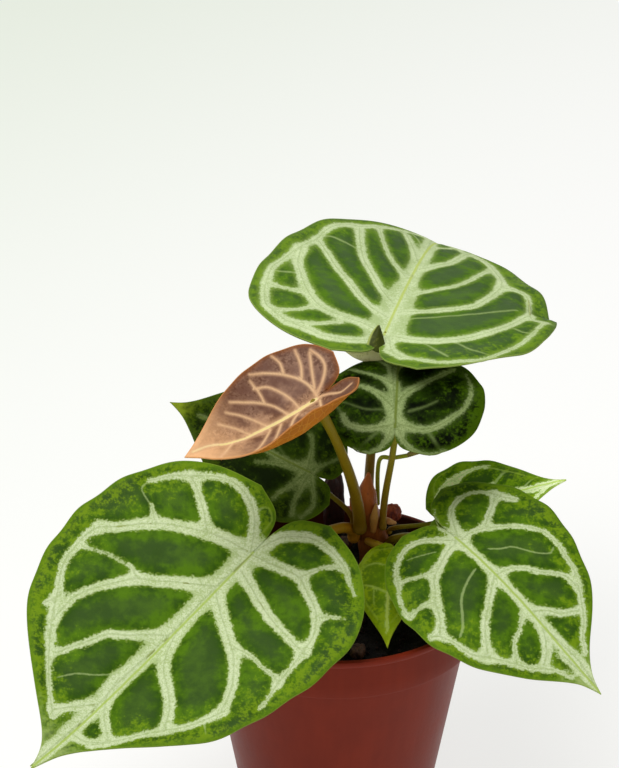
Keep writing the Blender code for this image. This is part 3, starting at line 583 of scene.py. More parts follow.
            (1.4, 1, (31, 1), (36, -8), (39, -15)),
        ],
    },
    "leaf_front_right": {
        "at": (0.0471, -0.0200, 0.1374), "turn": (309.5, -11.0, 15.0), "length": 0.087,
        "lobes": (0.29, 0.19), "droop": 7.0, "tipTurn": -0.33, "fold": 0.0,
        "curl": (2.2, 4.2), "twist": -0.12, "wave": (0.0008, 5, 1.5), "cells": (14, 7),
        "left": (0.0136, 0.0269, 0.0377, 0.0395, 0.0352, 0.0276, 0.0111, 0.0029),
        "right": (0.0145, 0.0270, 0.0366, 0.0413, 0.0395, 0.0318, 0.0175, 0.0045),
        "tone": "green", "veins": [
            (4.2, 4.5, (2, 0), (13, 0), (24, 0), (33, 0), (43, 0), (52, 0), (62, 1), (72, 2), (86, 0)),
            (3.6, 0.5, (0, 1), (-6, 4), (-12, 8), (-15, 13), (-15, 19), (-13, 23), (-9, 26), (-4, 28),
             (0, 32)),
            (1.4, 0.5, (-2, 0), (-8, -1), (-14, 1), (-18, 4)),
            (2.3, 2.3, (2, 1), (2, 7), (4, 12), (7, 17), (11, 22), (16, 27), (20, 30), (27, 30), (33, 29),
             (39, 28), (43, 26)),
            (3.1, 2.2, (3, 13), (0, 17), (-3, 22), (-7, 27)),
            (1.5, 0.5, (-7, 27), (-3, 29), (0, 31)),
            (0.6, 0.7, (13, 6), (16, 10), (18, 14), (22, 17), (26, 20), (29, 24), (28, 27)),
            (2.3, 2.3, (24, 0), (25, 6), (28, 11), (33, 15), (37, 20), (41, 23), (46, 23)),
            (2.3, 2, (46, 24), (50, 22), (55, 19), (60, 15), (65, 10), (70, 7)),
            (4.1, 2.3, (45, 1), (48, 6), (52, 10), (55, 17)),
            (1.1, 0.5, (41, 26), (41, 31)),
            (3.1, 1.1, (2, 0), (-2, -4), (-6, -8), (-9, -12), (-10, -17), (-8, -23), (-4, -28), (2, -32),
             (8, -36), (13, -38), (17, -38)),
            (0.5, 0.4, (0, -11), (-2, -15), (-5, -21)),
            (3.3, 4, (2, -1), (3, -7), (6, -13), (9, -19), (14, -23), (19, -27), (25, -30), (30, -34)),
            (2, 1.3, (7, -18), (5, -23), (3, -27), (1, -30)),
            (2.1, 0.7, (18, -27), (16, -31), (16, -35), (16, -38)),
            (2.1, 3, (29, -38), (31, -35), (36, -33), (42, -32), (46, -30), (50, -26)),
            (2.6, 1.4, (50, -26), (54, -23), (58, -20), (63, -16), (66, -12), (70, -8), (75, -5)),
            (0.9, 1.1, (17, -5), (20, -12), (24, -18), (29, -22), (34, -26), (36, -29)),
            (3, 3.6, (24, -1), (28, -6), (33, -12), (38, -18), (43, -22), (49, -26)),
            (1.4, 1.9, (44, -4), (48, -9), (51, -14), (58, -19)),
            (4.4, 3.5, (53, -1), (57, -3), (62, -7), (65, -11)),
            (2.6, 1.8, (66, -2), (73, -1), (80, 0)),
        ],
    },
    "leaf_back_right": {
        "at": (0.0455, 0.0120, 0.1299), "turn": (9.0, 19.0, 8.0), "length": 0.0507,
        "lobes": (0.155, 0.19), "droop": 6.0, "tipTurn": -0.2, "fold": 0.16,
        "curl": (1.2, 2.9), "twist": 0.0, "wave": (0.0005, 4, 0.0), "cells": (10, 5),
        "left": (0.0064, 0.0147, 0.0224, 0.0244, 0.0226, 0.0158, 0.0057, 0.0016),
        "right": (0.0067, 0.0145, 0.0213, 0.0226, 0.0213, 0.0148, 0.0064, 0.0020),
        # painted light: the gain raises this leaf's colours, as it lies in the shade of the leaves above
        "tone": "green", "gain": 1.7, "veins": [
            (2.8, 1.1, (7, 15.5), (12, 17), (17, 18.5), (22.5, 17)),
            (0.9, 0.5, (-2.5, 10.5), (-1.5, 15.5), (1.5, 19.5), (6, 21.5)),
            (1.3, 1.1, (22, 7), (26, 10.5), (29, 12)),
            (0.8, 0.5, (22, 16.5), (27, 13), (32, 9.5), (35, 7)),
            (2.4, 0.7, (27.5, 1), (34.5, -2), (41.5, -1), (49, 0.5)),
            (0.9, 0.5, (31, 0), (36, 3.5), (40.5, 5)),
            (3, 1.6, (0, 0), (10, 0), (20, 0), (32, 0), (42, 0), (49, 0)),
            (1.8, 1.3, (0, 0), (-3, 5), (-2, 10), (3, 15), (7, 16)),
            (1.4, 1.1, (8, 0), (15, 4), (22, 8)),
            (1.8, 1.2, (0, 0), (-3, -6), (-2, -12), (5, -17), (14, -18), (24, -16), (33, -10), (40, -4)),
            (1.5, 1.1, (3, 0), (9, -8), (13, -17)),
            (1.4, 1, (13, 0), (20, -8), (25, -15)),
            (1.2, 0.9, (24, 0), (30, -6), (34, -9)),
            (1.5, 1, (2, 0), (6, 8), (8, 15)),
        ],
    },
    "leaf_small_front": {
        "at": (0.0227, -0.0060, 0.1203), "turn": (262.0, -12.0, 15.0), "length": 0.0447,
        "lobes": (0.20, 0.20), "droop": 7.6, "tipTurn": 0.28, "fold": 0.05,
        "curl": (2.9, 3.2), "twist": 0.0, "wave": (0.0005, 4, 0.5), "cells": (10, 5),
        "left": (0.0045, 0.0098, 0.0141, 0.0150, 0.0140, 0.0102, 0.0048, 0.0014),
        "right": (0.0045, 0.0098, 0.0141, 0.0150, 0.0140, 0.0102, 0.0048, 0.0014),
        # painted light: the gain raises this leaf's colours, as it lies in the shade of the leaves above
        "tone": "young", "gain": 1.5, "veins": [
            (1.1, 1, (6, -11.5), (4.5, -9), (4, -6.5), (5, -3.5)),
            (0.6, 0.5, (4.5, -11.5), (-0.5, -11), (-3.5, -8.5), (-4, -4.5)),
            (1, 1.1, (15.5, -10), (16.5, -6.5), (19.5, -1)),
            (0.6, 0.3, (17, -6), (21, -6), (25.5, -5.5)),
            (1.8, 1, (0, 0), (9, 0), (18, 0), (30, 0), (38, 0)),
            (1, 0.7, (-3.5, -8.5), (4, -12), (15, -12), (24, -9), (32, -4)),
            (1, 0.7, (-4, -4), (-5, 4), (0, 10), (10, 12), (20, 11), (29, 6), (34, 2)),
            (1, 0.8, (3, 0), (5, 5), (6, 11)),
            (1, 0.8, (12, 0), (16, 6), (20, 10)),
            (0.9, 0.6, (22, 0), (26, 4), (29, 6)),
        ],
    },
}
bladeLooks = {
    "cell": 0.0009, "thick": 0.0007, "soften": 1.4, "thin": 1.35, "behind": 0.3, "quilt": 0.0006,
    "ridge": 0.00018, "ripple": 0.00022, "rib": 0.22, "eased": 60,
}


# Screen colours: panel and bright are the flesh between the veins, mottle its yellower spots
# towards the rim, deep its greyer middle, fringe the veins' edge, silver and white the veins, cord and
# line the threads down their middles, margin the outermost edge. Fade is how far the fringe reaches
# in mm, halo its share beside thin veins, tooth how jagged an edge is and blur how soft, in mm.
tones = {
    "green": {
        "slot": "leaf_green", "panel": (44, 76, 6), "bright": (80, 118, 14), "mottle": (116, 146, 20),
        "deep": (60, 84, 36), "fringe": (134, 160, 52), "silver": (170, 190, 126), "white": (214, 226, 184),
        "cord": (142, 162, 98), "line": (166, 190, 84), "rim": (88, 124, 14), "margin": (138, 158, 60),
        "tip": (172, 190, 120), "under": (112, 132, 54), "rib": (152, 168, 90), "shine": 0.55,
        "fade": 1.0, "halo": 0.25, "deepness": 0.6, "tipFrom": 0.8, "tooth": 3.4, "blur": 0.3, "midrib": 0.75,
        "gloss": 0.05,
    },
    "grey": {
        "slot": "leaf_green", "panel": (56, 88, 22), "bright": (84, 122, 22), "mottle": (114, 146, 34),
        "deep": (74, 98, 56), "fringe": (144, 170, 74), "silver": (176, 196, 134), "white": (214, 228, 180),
        "cord": (156, 176, 112), "line": (190, 206, 104), "rim": (88, 118, 40), "margin": (166, 184, 92),
        "tip": (110, 140, 56), "under": (170, 182, 104), "rib": (188, 200, 130), "shine": 0.5,
        "fade": 2.4, "halo": 0.35, "deepness": 0.7, "tipFrom": 0.85, "tooth": 3.0, "blur": 0.6, "midrib": 0.9,
        "gloss": 0.07,
    },
    "copper": {
        "slot": "leaf_copper", "panel": (118, 78, 52), "bright": (192, 150, 116), "mottle": (84, 46, 28),
        "deep": (104, 72, 62), "fringe": (226, 180, 136), "silver": (246, 208, 156), "white": (255, 230, 176),
        "cord": (240, 216, 150), "line": (236, 218, 142), "rim": (128, 72, 28), "margin": (232, 156, 84),
        "tip": (242, 188, 136), "under": (184, 108, 22), "rib": (214, 148, 50), "shine": 0.42,
        "fade": 2.2, "halo": 0.7, "deepness": 0.6, "tipFrom": 0.45, "tooth": 0.7, "blur": 0.45, "midrib": 1.1,
        "gloss": 0.12,
    },
    # painted shade: the green tone's colours darkened for the back left leaf, which lies in shade
    "shade": {
        "slot": "leaf_green", "panel": (16, 26, 3), "bright": (36, 54, 6), "mottle": (60, 78, 8),
        "deep": (18, 28, 8), "fringe": (60, 78, 22), "silver": (84, 100, 50), "white": (118, 130, 78),
        "cord": (66, 82, 32), "line": (88, 102, 38), "rim": (58, 80, 6), "margin": (92, 110, 24),
        "tip": (128, 146, 34), "under": (84, 100, 40), "rib": (112, 126, 66), "shine": 0.5,
        "fade": 2.2, "halo": 0.2, "deepness": 0.6, "tipFrom": 0.8, "tooth": 3.4, "blur": 0.9, "midrib": 0.7,
        "gloss": 0.02,
    },
    # painted shade: darker still, near black, for the back middle leaf in deep shade under the top leaf
    "dusk": {
        "slot": "leaf_green", "panel": (4, 12, 0), "bright": (32, 52, 2), "mottle": (58, 84, 4),
        "deep": (3, 8, 0), "fringe": (60, 78, 26), "silver": (112, 130, 76), "white": (152, 168, 112),
        "cord": (92, 108, 52), "line": (98, 114, 40), "rim": (60, 86, 4), "margin": (96, 116, 28),
        "tip": (50, 74, 6), "under": (84, 100, 40), "rib": (112, 126, 66), "shine": 0.5,
        "fade": 2.4, "halo": 0.3, "deepness": 0.8, "tipFrom": 0.8, "tooth": 3.2, "blur": 0.8, "midrib": 0.9,
        "gloss": 0.02,
    },
    "young": {
        "slot": "leaf_green", "panel": (76, 108, 4), "bright": (102, 132, 12), "mottle": (128, 150, 8),
        "deep": (78, 102, 16), "fringe": (134, 156, 44), "silver": (152, 172, 82), "white": (176, 194, 108),
        "cord": (132, 152, 66), "line": (160, 178, 74), "rim": (122, 146, 6), "margin": (160, 172, 50),
        "tip": (150, 166, 24), "under": (108, 126, 42), "rib": (136, 150, 70), "shine": 0.46,
        "fade": 1.0, "halo": 0.2, "deepness": 0.5, "tipFrom": 0.8, "tooth": 3.0, "blur": 0.5, "midrib": 0.7,
        "gloss": 0.06,
    },
}


def halfOutline(leaf, side, count):
    # inner and outer edge of one half, flat, from the lobe's end to the tip, as in the CAD
    length = leaf["length"]
    lobe, widths = leaf["lobes"][side] * length, leaf["left"] if side == 0 else leaf["right"]
    places = [s * lobe if s < 0 else s * length for s in stations]
    outer = smoothPath(list(zip(places, widths)) + [(length, 0.0)], count + 1)
    for _ in range(bladeLooks["eased"]):        # each point drawn to the middle of its neighbours
        outer[1:-1] = 0.25 * outer[:-2] + 0.5 * outer[1:-1] + 0.25 * outer[2:]
    back = round(count * bladeLooks["behind"])
    innerBack = smoothPath([(place * lobe, share * widths[0]) for place, share in notch], back + 1)
    share = np.linspace(0, 1, count - back + 1)[1:]
    return np.vstack([innerBack, np.stack([length * share, 0 * share], 1)]), outer


def leafAxes(leaf):
    # along the midrib, across it to the left, and up: heading, pitch and then roll about the midrib
    heading, pitch, roll = np.radians(leaf["turn"])
    along = np.array([math.cos(heading) * math.cos(pitch), math.sin(heading) * math.cos(pitch), math.sin(pitch)])
    level = np.array([-math.sin(heading), math.cos(heading), 0])
    across = level * math.cos(roll) + np.cross(along, level) * math.sin(roll)
    return np.stack([along, across, np.cross(along, across)])


def bendLeaf(flat, leaf, lift=0.0):
    # the midrib's slope grows along it; each half is an arc from its fold; then the twist. Lift
    # moves a point off the blade along the arc's own upright.
    length = leaf["length"]
    x, y = flat[..., 0], flat[..., 1]
    s = np.linspace(-0.5 * length, 1.1 * length, 400)
    slope = -(leaf["droop"] * s + leaf["tipTurn"] * np.clip(s / length, 0, 2) ** 4)
    run, rise = np.cumsum(np.cos(slope)) * (s[1] - s[0]), np.cumsum(np.sin(slope)) * (s[1] - s[0])
    midX, midZ = (np.interp(x, s, track) - np.interp(0, s, track) for track in (run, rise))
    tilt = np.interp(x, s, slope)
    curl, side, start = np.where(y >= 0, *leaf["curl"]), np.sign(y), math.atan(leaf["fold"])
    turned = curl * np.abs(y) - start
    across = (np.sin(turned) + math.sin(start)) / curl * side
    height = (np.cos(turned) - math.cos(start)) / curl
    size, count, phase = leaf["wave"]
    spread = (np.abs(y) / max(leaf["left"] + leaf["right"])) ** 2
    height = height + size * spread * np.sin(2 * math.pi * count * x / length + phase + 2 * side)
    height = height + np.cos(turned) * lift
    across = across + np.sin(turned) * side * lift * np.clip(np.abs(y) / 0.003, 0, 1)
    twist = leaf["twist"] * x / length
    turnedAcross = across * np.cos(twist) - height * np.sin(twist)
    turnedHeight = height * np.cos(twist) + across * np.sin(twist)
    bent = np.stack([midX - np.sin(tilt) * turnedHeight, turnedAcross, midZ + np.cos(tilt) * turnedHeight], -1)
    return bent @ leafAxes(leaf) + leaf["at"]


def pathDistance(points, path):
    # to the nearest stretch of the path: the gap, the share along the path, and the side
    stretch = np.diff(path, axis=0)
    far = np.concatenate([[0], np.cumsum(np.linalg.norm(stretch, axis=1))])
    gap, share, side = np.full(len(points), 1e3), np.zeros(len(points)), np.ones(len(points))
    for number, way in enumerate(stretch):
        away = points - path[number]
        along = np.clip(away @ way / (way @ way), 0, 1)
        here = np.hypot(away[:, 0] - along * way[0], away[:, 1] - along * way[1])
        near = here < gap
        gap = np.where(near, here, gap)
        share = np.where(near, (far[number] + along * (far[number + 1] - far[number])) / far[-1], share)
        side = np.where(near, np.sign(way[0] * away[:, 1] - way[1] * away[:, 0]), side)
    return gap, share, side


def veinFields(flat, leaf):
    # in mm. vein: distance outside the nearest broad vein's edge, where two meet their sum of
    # falls of e; core and hair: the signed distance to a broad or thin vein's middle line
    points = flat * 1000
    total, soften = np.zeros(len(points)), bladeLooks["soften"]
    core, coreReach = np.full(len(points), 50.0), np.full(len(points), 50.0)
    hair, hairReach, hairHalf = core.copy(), core.copy(), np.full(len(points), 0.4)
    for first, last, *path in leaf["veins"]:
        gap, share, side = pathDistance(points, smoothPath(path, 6 * len(path)))
        half = 0.5 * (first + (last - first) * share)
        if max(first, last) > bladeLooks["thin"]:
            total += np.exp(np.clip((half + leaf.get("broaden", 0.05) - gap) / soften, -60, 30))
            near = gap < coreReach
            core, coreReach = np.where(near, gap * side, core), np.where(near, gap, coreReach)
        else:
            near = gap < hairReach
            hair, hairReach = np.where(near, gap * side, hair), np.where(near, gap, hairReach)
            hairHalf = np.where(near, half, hairHalf)
    vein = -soften * np.log(total + 1e-20)
    return {"vein": vein, "core": core, "coreReach": coreReach, "hair": hair, "hairReach": hairReach,
            "hairHalf": hairHalf}


def leafMaterial(name, tone, gain):
    made, paint, shader = newMaterial(name)
    # every colour is multiplied by the gain: above 1 it is painted light for a leaf lying in shade
    ink = {key: tuple(v * gain for v in srgb(*value)) for key, value in tone.items() if isinstance(value, tuple)}
    vein, rim, across = paint.attribute("vein"), paint.attribute("rim"), paint.attribute("across")
    core, coreReach = paint.attribute("core"), paint.attribute("coreReach")
    hair, hairReach = paint.attribute("hair"), paint.attribute("hairReach")
    blotch, mottle = paint.noise(0.011, 3), paint.noise(0.0034, 3, 0.6)
    teeth, grit = paint.noise(0.0011, 3, 0.65), paint.noise(0.0004, 2, 0.6)
    # flesh: two greens in soft blotches, greyer deep inside a panel, yellower spots near its edge
    colour = (blotch * 1.9 + mottle * 1.3 + 0.5).ease(0.12, 0.88).mix(ink["panel"], ink["bright"])
    deep = (vein * 0.16 - blotch * 1.5 - mottle - 0.2).ease(0.0, 0.9)
    colour = (deep * tone["deepness"]).mix(colour, ink["deep"])
    spots = (mottle * 2.6 + blotch * 1.6 + teeth * 2.4 + 0.66 - rim * 0.05).ease(0.1, 0.9)
    colour = (spots * 0.8).mix(colour, ink["mottle"])
    colour = ((1 - (rim + mottle * 3).ease(0.3, 2.8)) * 0.7).mix(colour, ink["rim"])
    colour = (paint.attribute("along") + mottle * 0.2).ease(tone["tipFrom"], 1.0).mix(colour, ink["tip"])
    # veins: a toothed edge with a soft fringe, pale crystals inside, and a thread down the middle
    edge = vein + teeth * tone["tooth"] + (mottle + grit) * (tone["tooth"] * 0.5)
    colour = ((1 - edge.ease(0.0, tone["fade"])) * 0.5).mix(colour, ink["fringe"])
    silver = 1 - edge.ease(-tone["blur"], tone["blur"])
    thread = paint.attribute("hairHalf") + teeth * (tone["tooth"] * 0.28)
    near = 1 - hairReach.ease(0.0, tone["fade"] * 0.9)
    colour = (near * near * tone["halo"]).mix(colour, ink["fringe"])
    thin = 1 - (hair.size().larger(hairReach - 0.45) - thread).ease(-tone["blur"], tone["blur"])
    colour = (thin * 0.5).mix(colour, rim.ease(2.5, 7.0).mix(ink["fringe"], ink["silver"]))
    grain = (teeth * 1.5 + grit * 2.4 + blotch * 0.8 + 0.58 - coreReach.ease(1.4, 4.5) * 0.4).ease(0.1, 0.9)
    colour = (silver * 0.96).mix(colour, grain.mix(ink["silver"], ink["white"]))
    cord = (1 - (core.size().larger(coreReach - 0.45) + teeth * 0.4).ease(0.05, 0.6)) * silver
    colour = (cord * 0.4).mix(colour, ink["cord"])
    midrib = (1 - (across.size() + teeth * 0.15).ease(0.2, tone["midrib"])) * silver
    colour = (midrib * 0.85).mix(colour, ink["line"])
    colour = ((1 - rim.ease(0.15, 0.45)) * 0.45).mix(colour, ink["margin"])
    lift = teeth * 0.6 + mottle * 0.7 + grit * 0.4 + thin * 0.5 - cord * 0.5 + midrib * 0.6
    finishMaterial(paint, shader, {
        "Base Color": colour, "Roughness": tone["shine"] + mottle * 0.15 + silver * 0.1,
        "Normal": paint.bump(lift, 0.5, 0.0004),
    }, {"Sheen Weight": 0.02, "Sheen Roughness": 0.4, "Sheen Tint": (*ink["bright"], 1),
        "Specular IOR Level": tone["gloss"]})
    return made


def underMaterial(name, tone):
    made, paint, shader = newMaterial(name)
    under, rib = srgb(*tone["under"]), srgb(*tone["rib"])
    blotch, mottle = paint.noise(0.009, 3), paint.noise(0.0028, 3, 0.6)
    vein, cells = paint.attribute("vein"), paint.network(0.0032)
    colour = (blotch * 1.8 + 0.5).ease(0.1, 0.9).mix(under, tuple(0.78 * v for v in under))
    colour = ((1 - (vein + mottle * 2).ease(-0.8, 1.2)) * 0.7).mix(colour, rib)
    colour = ((1 - cells.ease(0.01, 0.09)) * 0.35).mix(colour, rib)
    finishMaterial(paint, shader, {
        "Base Color": colour, "Roughness": 0.55 + mottle * 0.2,
        "Normal": paint.bump(mottle - cells.ease(0.0, 0.2) * 0.5, 0.5, 0.0004),
    }, {"Specular IOR Level": 0.15})
    return made


def ribMaterial(name, tone):
    made, paint, shader = newMaterial(name)
    rib, grain = srgb(*tone["rib"]), paint.noise(0.0022, 3)
    colour = (grain * 1.8 + 0.5).ease(0.1, 0.9).mix(rib, tuple(0.72 * v for v in rib))
    finishMaterial(paint, shader, {"Base Color": colour, "Roughness": 0.5 + grain * 0.2,
                                   "Normal": paint.bump(grain, 0.4, 0.0003)}, {"Specular IOR Level": 0.4})
    return made


def pieceName(node):
    first, *rest = node.split("_")
    return first + "".join(word.capitalize() for word in rest)


def buildBlade(node, leaf, looks):
    # rows from the lobe's end to the tip and columns from midrib to edge, each half bent, quilted
    # up between the veins, and raised a little along the veins' middle lines
    cell = bladeLooks["cell"]
    widest = max(leaf["left"] + leaf["right"])
    columns = int(widest / cell)
    rows = int((leaf["length"] * (1 + max(leaf["lobes"])) + widest * 0.6) / cell)
    points, faces, fields = [], [], {}
    for side in (0, 1):
        inner, outer = halfOutline(leaf, side, rows)
        share = np.linspace(0, 1, columns + 1)[None, :, None]
        flat = inner[:, None] * (1 - share) + outer[:, None] * share
        flat[..., 1] *= 1 - 2 * side
        flat = flat.reshape(-1, 2)
        found = veinFields(flat, leaf)
        edge = np.vstack([inner[:round(rows * bladeLooks["behind"] * 0.8)][::-1], outer]) * (1, 1 - 2 * side)
        found["rim"] = pathDistance(flat * 1000, edge[::2] * 1000)[0]
        found["across"] = np.where(flat[:, 0] > -0.001, flat[:, 1] * 1000, 50.0)
        found["along"] = flat[:, 0] / leaf["length"]
        calm = np.clip(found["rim"] / 2.0, 0, 1)
        lift = bladeLooks["quilt"] * (1 - np.exp(-np.clip(found["vein"], 0, 99) / 2.6)) * calm
        lift += bladeLooks["ridge"] * np.exp(-(found["coreReach"] / 0.8) ** 2) * calm
        lift += bladeLooks["ripple"] * waves(flat[:, 0], flat[:, 1], 0.009, 5) * calm
        for x, y, radius, height in leaf.get("swells", ()):
            lift += 0.001 * height * np.exp(-((flat[:, 0] * 1000 - x) ** 2 + (flat[:, 1] * 1000 - y) ** 2)
                                            / radius**2)
        for half, low, high, height in leaf.get("lips", ()):
            edgeShare = np.broadcast_to(share[..., 0], (rows + 1, columns + 1)).ravel()
            window = np.clip((flat[:, 0] * 1000 - low) / (high - low), 0, 1)
            if half == side:
                lift += 0.001 * height * np.clip((edgeShare - 0.62) / 0.38, 0, 1) ** 2 * np.sin(math.pi * window)
        first = sum(map(len, points))
        points.append(bendLeaf(flat, leaf, lift))
        quads = gridFaces(rows + 1, columns + 1, first)
        faces.append(quads if side == 0 else quads[:, ::-1])
        for key, values in found.items():
            fields.setdefault(key, []).append(values)
    blade = addMesh(pieceName(node) + "Blade", np.vstack(points), np.vstack(faces), looks,
                    tones[leaf["tone"]]["slot"], weld=5e-6, shell=False,
                    fields={key: np.concatenate(values) for key, values in fields.items()})
    solid = blade.modifiers.new("thickness", "SOLIDIFY")
    solid.thickness, solid.offset, solid.material_offset = bladeLooks["thick"], -1.0, 1
    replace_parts(blade, node)
    print(" ", blade.name, len(blade.data.polygons), "faces")


def buildRibs(node, leaf, look):
    # under each broad vein a tapered tube, two thirds of it below the blade
    points, faces = [], []
    for first, last, *path in leaf["veins"]:
        if max(first, last) <= bladeLooks["thin"] and leaf["tone"] != "copper":
            continue
        flat = smoothPath(path, 5 * len(path)) / 1000
        share = np.linspace(0, 1, len(flat))
        radii = np.clip(bladeLooks["rib"] * 0.001 * (first + (last - first) * share), 0.00022, 0.0010)
        radii = radii * np.clip((1 - share) * 6 + 0.25, 0, 1)
        middle = bendLeaf(flat, leaf, -(bladeLooks["thick"] + 0.2 * radii))
        middle, radii = roundEnds(middle, radii, 2)
        faces += [tuple(face) for face in tubeFaces(len(middle), 10, sum(map(len, points)))]
        points.append(sweep(middle, radii, 10).reshape(-1, 3))
    addMesh(pieceName(node) + "Ribs", np.vstack(points), faces, [look], tones[leaf["tone"]]["slot"])


# The top leaf's notch has curled up on the right and hangs down on the left. Each is a sheet between
# two edges, in mm, bulging between them.
curls = {
    "leafTopCurl": {
        "one": ((11.7, 24, 200.6), (12.7, 26, 203.2), (14.3, 28, 205.3), (16.5, 30, 207)), "other": ((19.1, 24, 197.4), (18.9, 26, 200.5), (17.9, 28, 204), (16.7, 30, 207)), "bulge": 2.0,
        # painted shade: the curl's face and spots are a dark olive standing in for the shade on the lobe's
        # turned-up underside; its edge is the pale margin
        "face": (58, 66, 12), "spot": (86, 92, 28), "edge": (170, 182, 96),
    },
    "leafTopFlap": {
        "one": ((3.1, 28, 197.6), (7.5, 28, 197.2), (12.4, 28, 197.6), (19.7, 28, 195.8)), "other": ((3.5, 27, 196.6), (7.5, 26, 194.1), (13.2, 26, 191.9), (19.7, 26, 191.4)), "bulge": 1.0,
        # partly the flap's own cream colour, partly painted light: its face and spots are raised near white though
        # it hangs in the top leaf's shade
        "face": (252, 250, 190), "spot": (206, 208, 120), "edge": (240, 232, 160),
    },
}


def buildCurl(name, curl):
    # rows from edge to edge; the bulge is a sine across, towards the camera's side, -Y
    one, other = smoothPath(curl["one"], 40) / 1000, smoothPath(curl["other"], 40) / 1000
    share = np.linspace(0, 1, 17)[:, None, None]
    points = one[None] * (1 - share) + other[None] * share
    points[..., 1] -= 0.001 * curl["bulge"] * np.sin(math.pi * share[..., 0])
    made, paint, shader = newMaterial(name + "Skin")
    spots, grain = paint.noise(0.0014, 3, 0.6), paint.noise(0.005, 2)
    colour = (spots * 2.2 + grain + 0.1).ease(0.05, 0.8).mix(srgb(*curl["face"]), srgb(*curl["spot"]))
    colour = (1 - paint.attribute("rim").ease(0.03, 0.16)).mix(colour, srgb(*curl["edge"]))
    finishMaterial(paint, shader, {"Base Color": colour, "Roughness": 0.5 + spots * 0.2,
                                   "Normal": paint.bump(spots, 0.4, 0.0003)}, {"Specular IOR Level": 0.15})
    sheet = addMesh(name, points.reshape(-1, 3), gridFaces(17, 40), [made], "leaf_green", weld=5e-6, shell=False,
                    fields={"rim": np.repeat(share.ravel(), 40)})
    solid = sheet.modifiers.new("thickness", "SOLIDIFY")
    solid.thickness, solid.offset = 0.0006, 0


for name, curl in curls.items():
    buildCurl(name, curl)
for node, leaf in leaves.items():
    tone = tones[leaf["tone"]]
    name = pieceName(node)
    looks = [leafMaterial(name + "Face", tone, leaf.get("gain", 1.0)), underMaterial(name + "Back", tone)]
    buildBlade(node, leaf, looks)
    buildRibs(node, leaf, ribMaterial(name + "Rib", tone))
print("leaves made")


# The stem is a smooth path with a radius at each of its points. Angles are in degrees round it.
stemSize = {
    "points": ((0.0158, 0.0240, 0.0760), (0.0158, 0.0240, 0.0880), (0.0157, 0.0235, 0.1020),
               (0.0145, 0.0205, 0.1160), (0.0128, 0.0175, 0.1280), (0.0122, 0.0165, 0.1370),
               (0.0130, 0.0168, 0.1460)),
    "radii": (0.0060, 0.0060, 0.0062, 0.0060, 0.0046, 0.0040, 0.0006),
    "clear": 0.0003, "thick": 0.0008, "rings": 90, "sides": 40,
}
# angle and height where each leaves the stem, how far it first goes up, the way it comes back down
# from its blade, its radii, and the colours at its foot and at its blade
stalks = {
    "stalk_top": {"angle": 92, "height": 0.1240, "rise": 0.030, "back": (-0.002, 0.003, -0.030),
                  "radii": (0.0021, 0.0015), "foot": (124, 88, 16), "end": (128, 132, 30)},
    "stalk_copper": {"angle": 240, "height": 0.1230, "rise": 0.012, "back": (0.0130, -0.0010, -0.0240),
                     "radii": (0.0027, 0.0018), "closer": 0.0008, "foot": (120, 90, 8), "end": (128, 110, 6)},
    "stalk_back_left": {"angle": 186, "height": 0.1220, "rise": 0.006, "back": (0.008, 0.0, -0.010),
                        "radii": (0.0012, 0.0009), "foot": (130, 96, 18), "end": (116, 118, 24)},
    "stalk_front_left": {"angle": 212, "height": 0.1160, "rise": 0.012, "back": (0.022, 0.022, -0.006),
                         "radii": (0.0024, 0.0018), "foot": (164, 108, 14), "end": (172, 152, 18)},
    "stalk_back_middle": {"angle": 318, "height": 0.1220, "rise": 0.020, "back": (0.0, 0.004, -0.020),
                          "radii": (0.0015, 0.0013), "foot": (138, 104, 18), "end": (144, 138, 38)},
    "stalk_front_right": {"angle": 325, "height": 0.1115, "rise": 0.006, "back": (-0.012, 0.014, -0.004),
                          "radii": (0.0019, 0.0014), "foot": (140, 110, 12), "end": (112, 124, 16)},
    "stalk_back_right": {"angle": 10, "height": 0.1150, "rise": 0.004, "back": (-0.010, 0.0, -0.007),
                         "radii": (0.0011, 0.0008), "foot": (150, 118, 16), "end": (128, 134, 24)},
    "stalk_small_front": {"angle": 290, "height": 0.1055, "rise": 0.001, "back": (0.0, 0.010, -0.007),
                          "radii": (0.0011, 0.0008), "foot": (150, 116, 16), "end": (124, 136, 16)},
}
growths = {
    "sheath_right": {"angle": 280, "height": 0.1215, "way": (0.0010, -0.0010, 0.0130),
                     "radii": (0.0013, 0.0018, 0.0004), "foot": (170, 114, 50), "end": (180, 132, 62)},
    "sheath_left": {"angle": 150, "height": 0.1180, "way": (-0.0025, 0.0, 0.0120),
                    "radii": (0.0010, 0.0014, 0.0003), "foot": (160, 74, 20), "end": (200, 110, 34)},
    "root_front": {"angle": 258, "height": 0.1160, "way": (0.0080, -0.0025, -0.0012),
                   "radii": (0.0015, 0.0018, 0.0008), "foot": (166, 116, 24), "end": (196, 168, 34)},
    "root_right": {"angle": 347, "height": 0.1240, "way": (0.0042, -0.0010, -0.0012),
                   "radii": (0.0012, 0.0014, 0.0007), "foot": (200, 132, 80), "end": (210, 152, 92)},
}
flowerSize = {
    "angle": 42, "height": 0.1290, "radius": 0.0009, "foot": (130, 130, 20), "end": (168, 176, 36),
    "way": ((0.0168, 0.0215, 0.1440), (0.0180, 0.0195, 0.1515), (0.0225, 0.0170, 0.1530),
            (0.0285, 0.0145, 0.1555)),
    "spike": (0.0120, -0.0010, 0.0075), "spikeRadii": (0.0010, 0.0017, 0.0016, 0.0006),
}


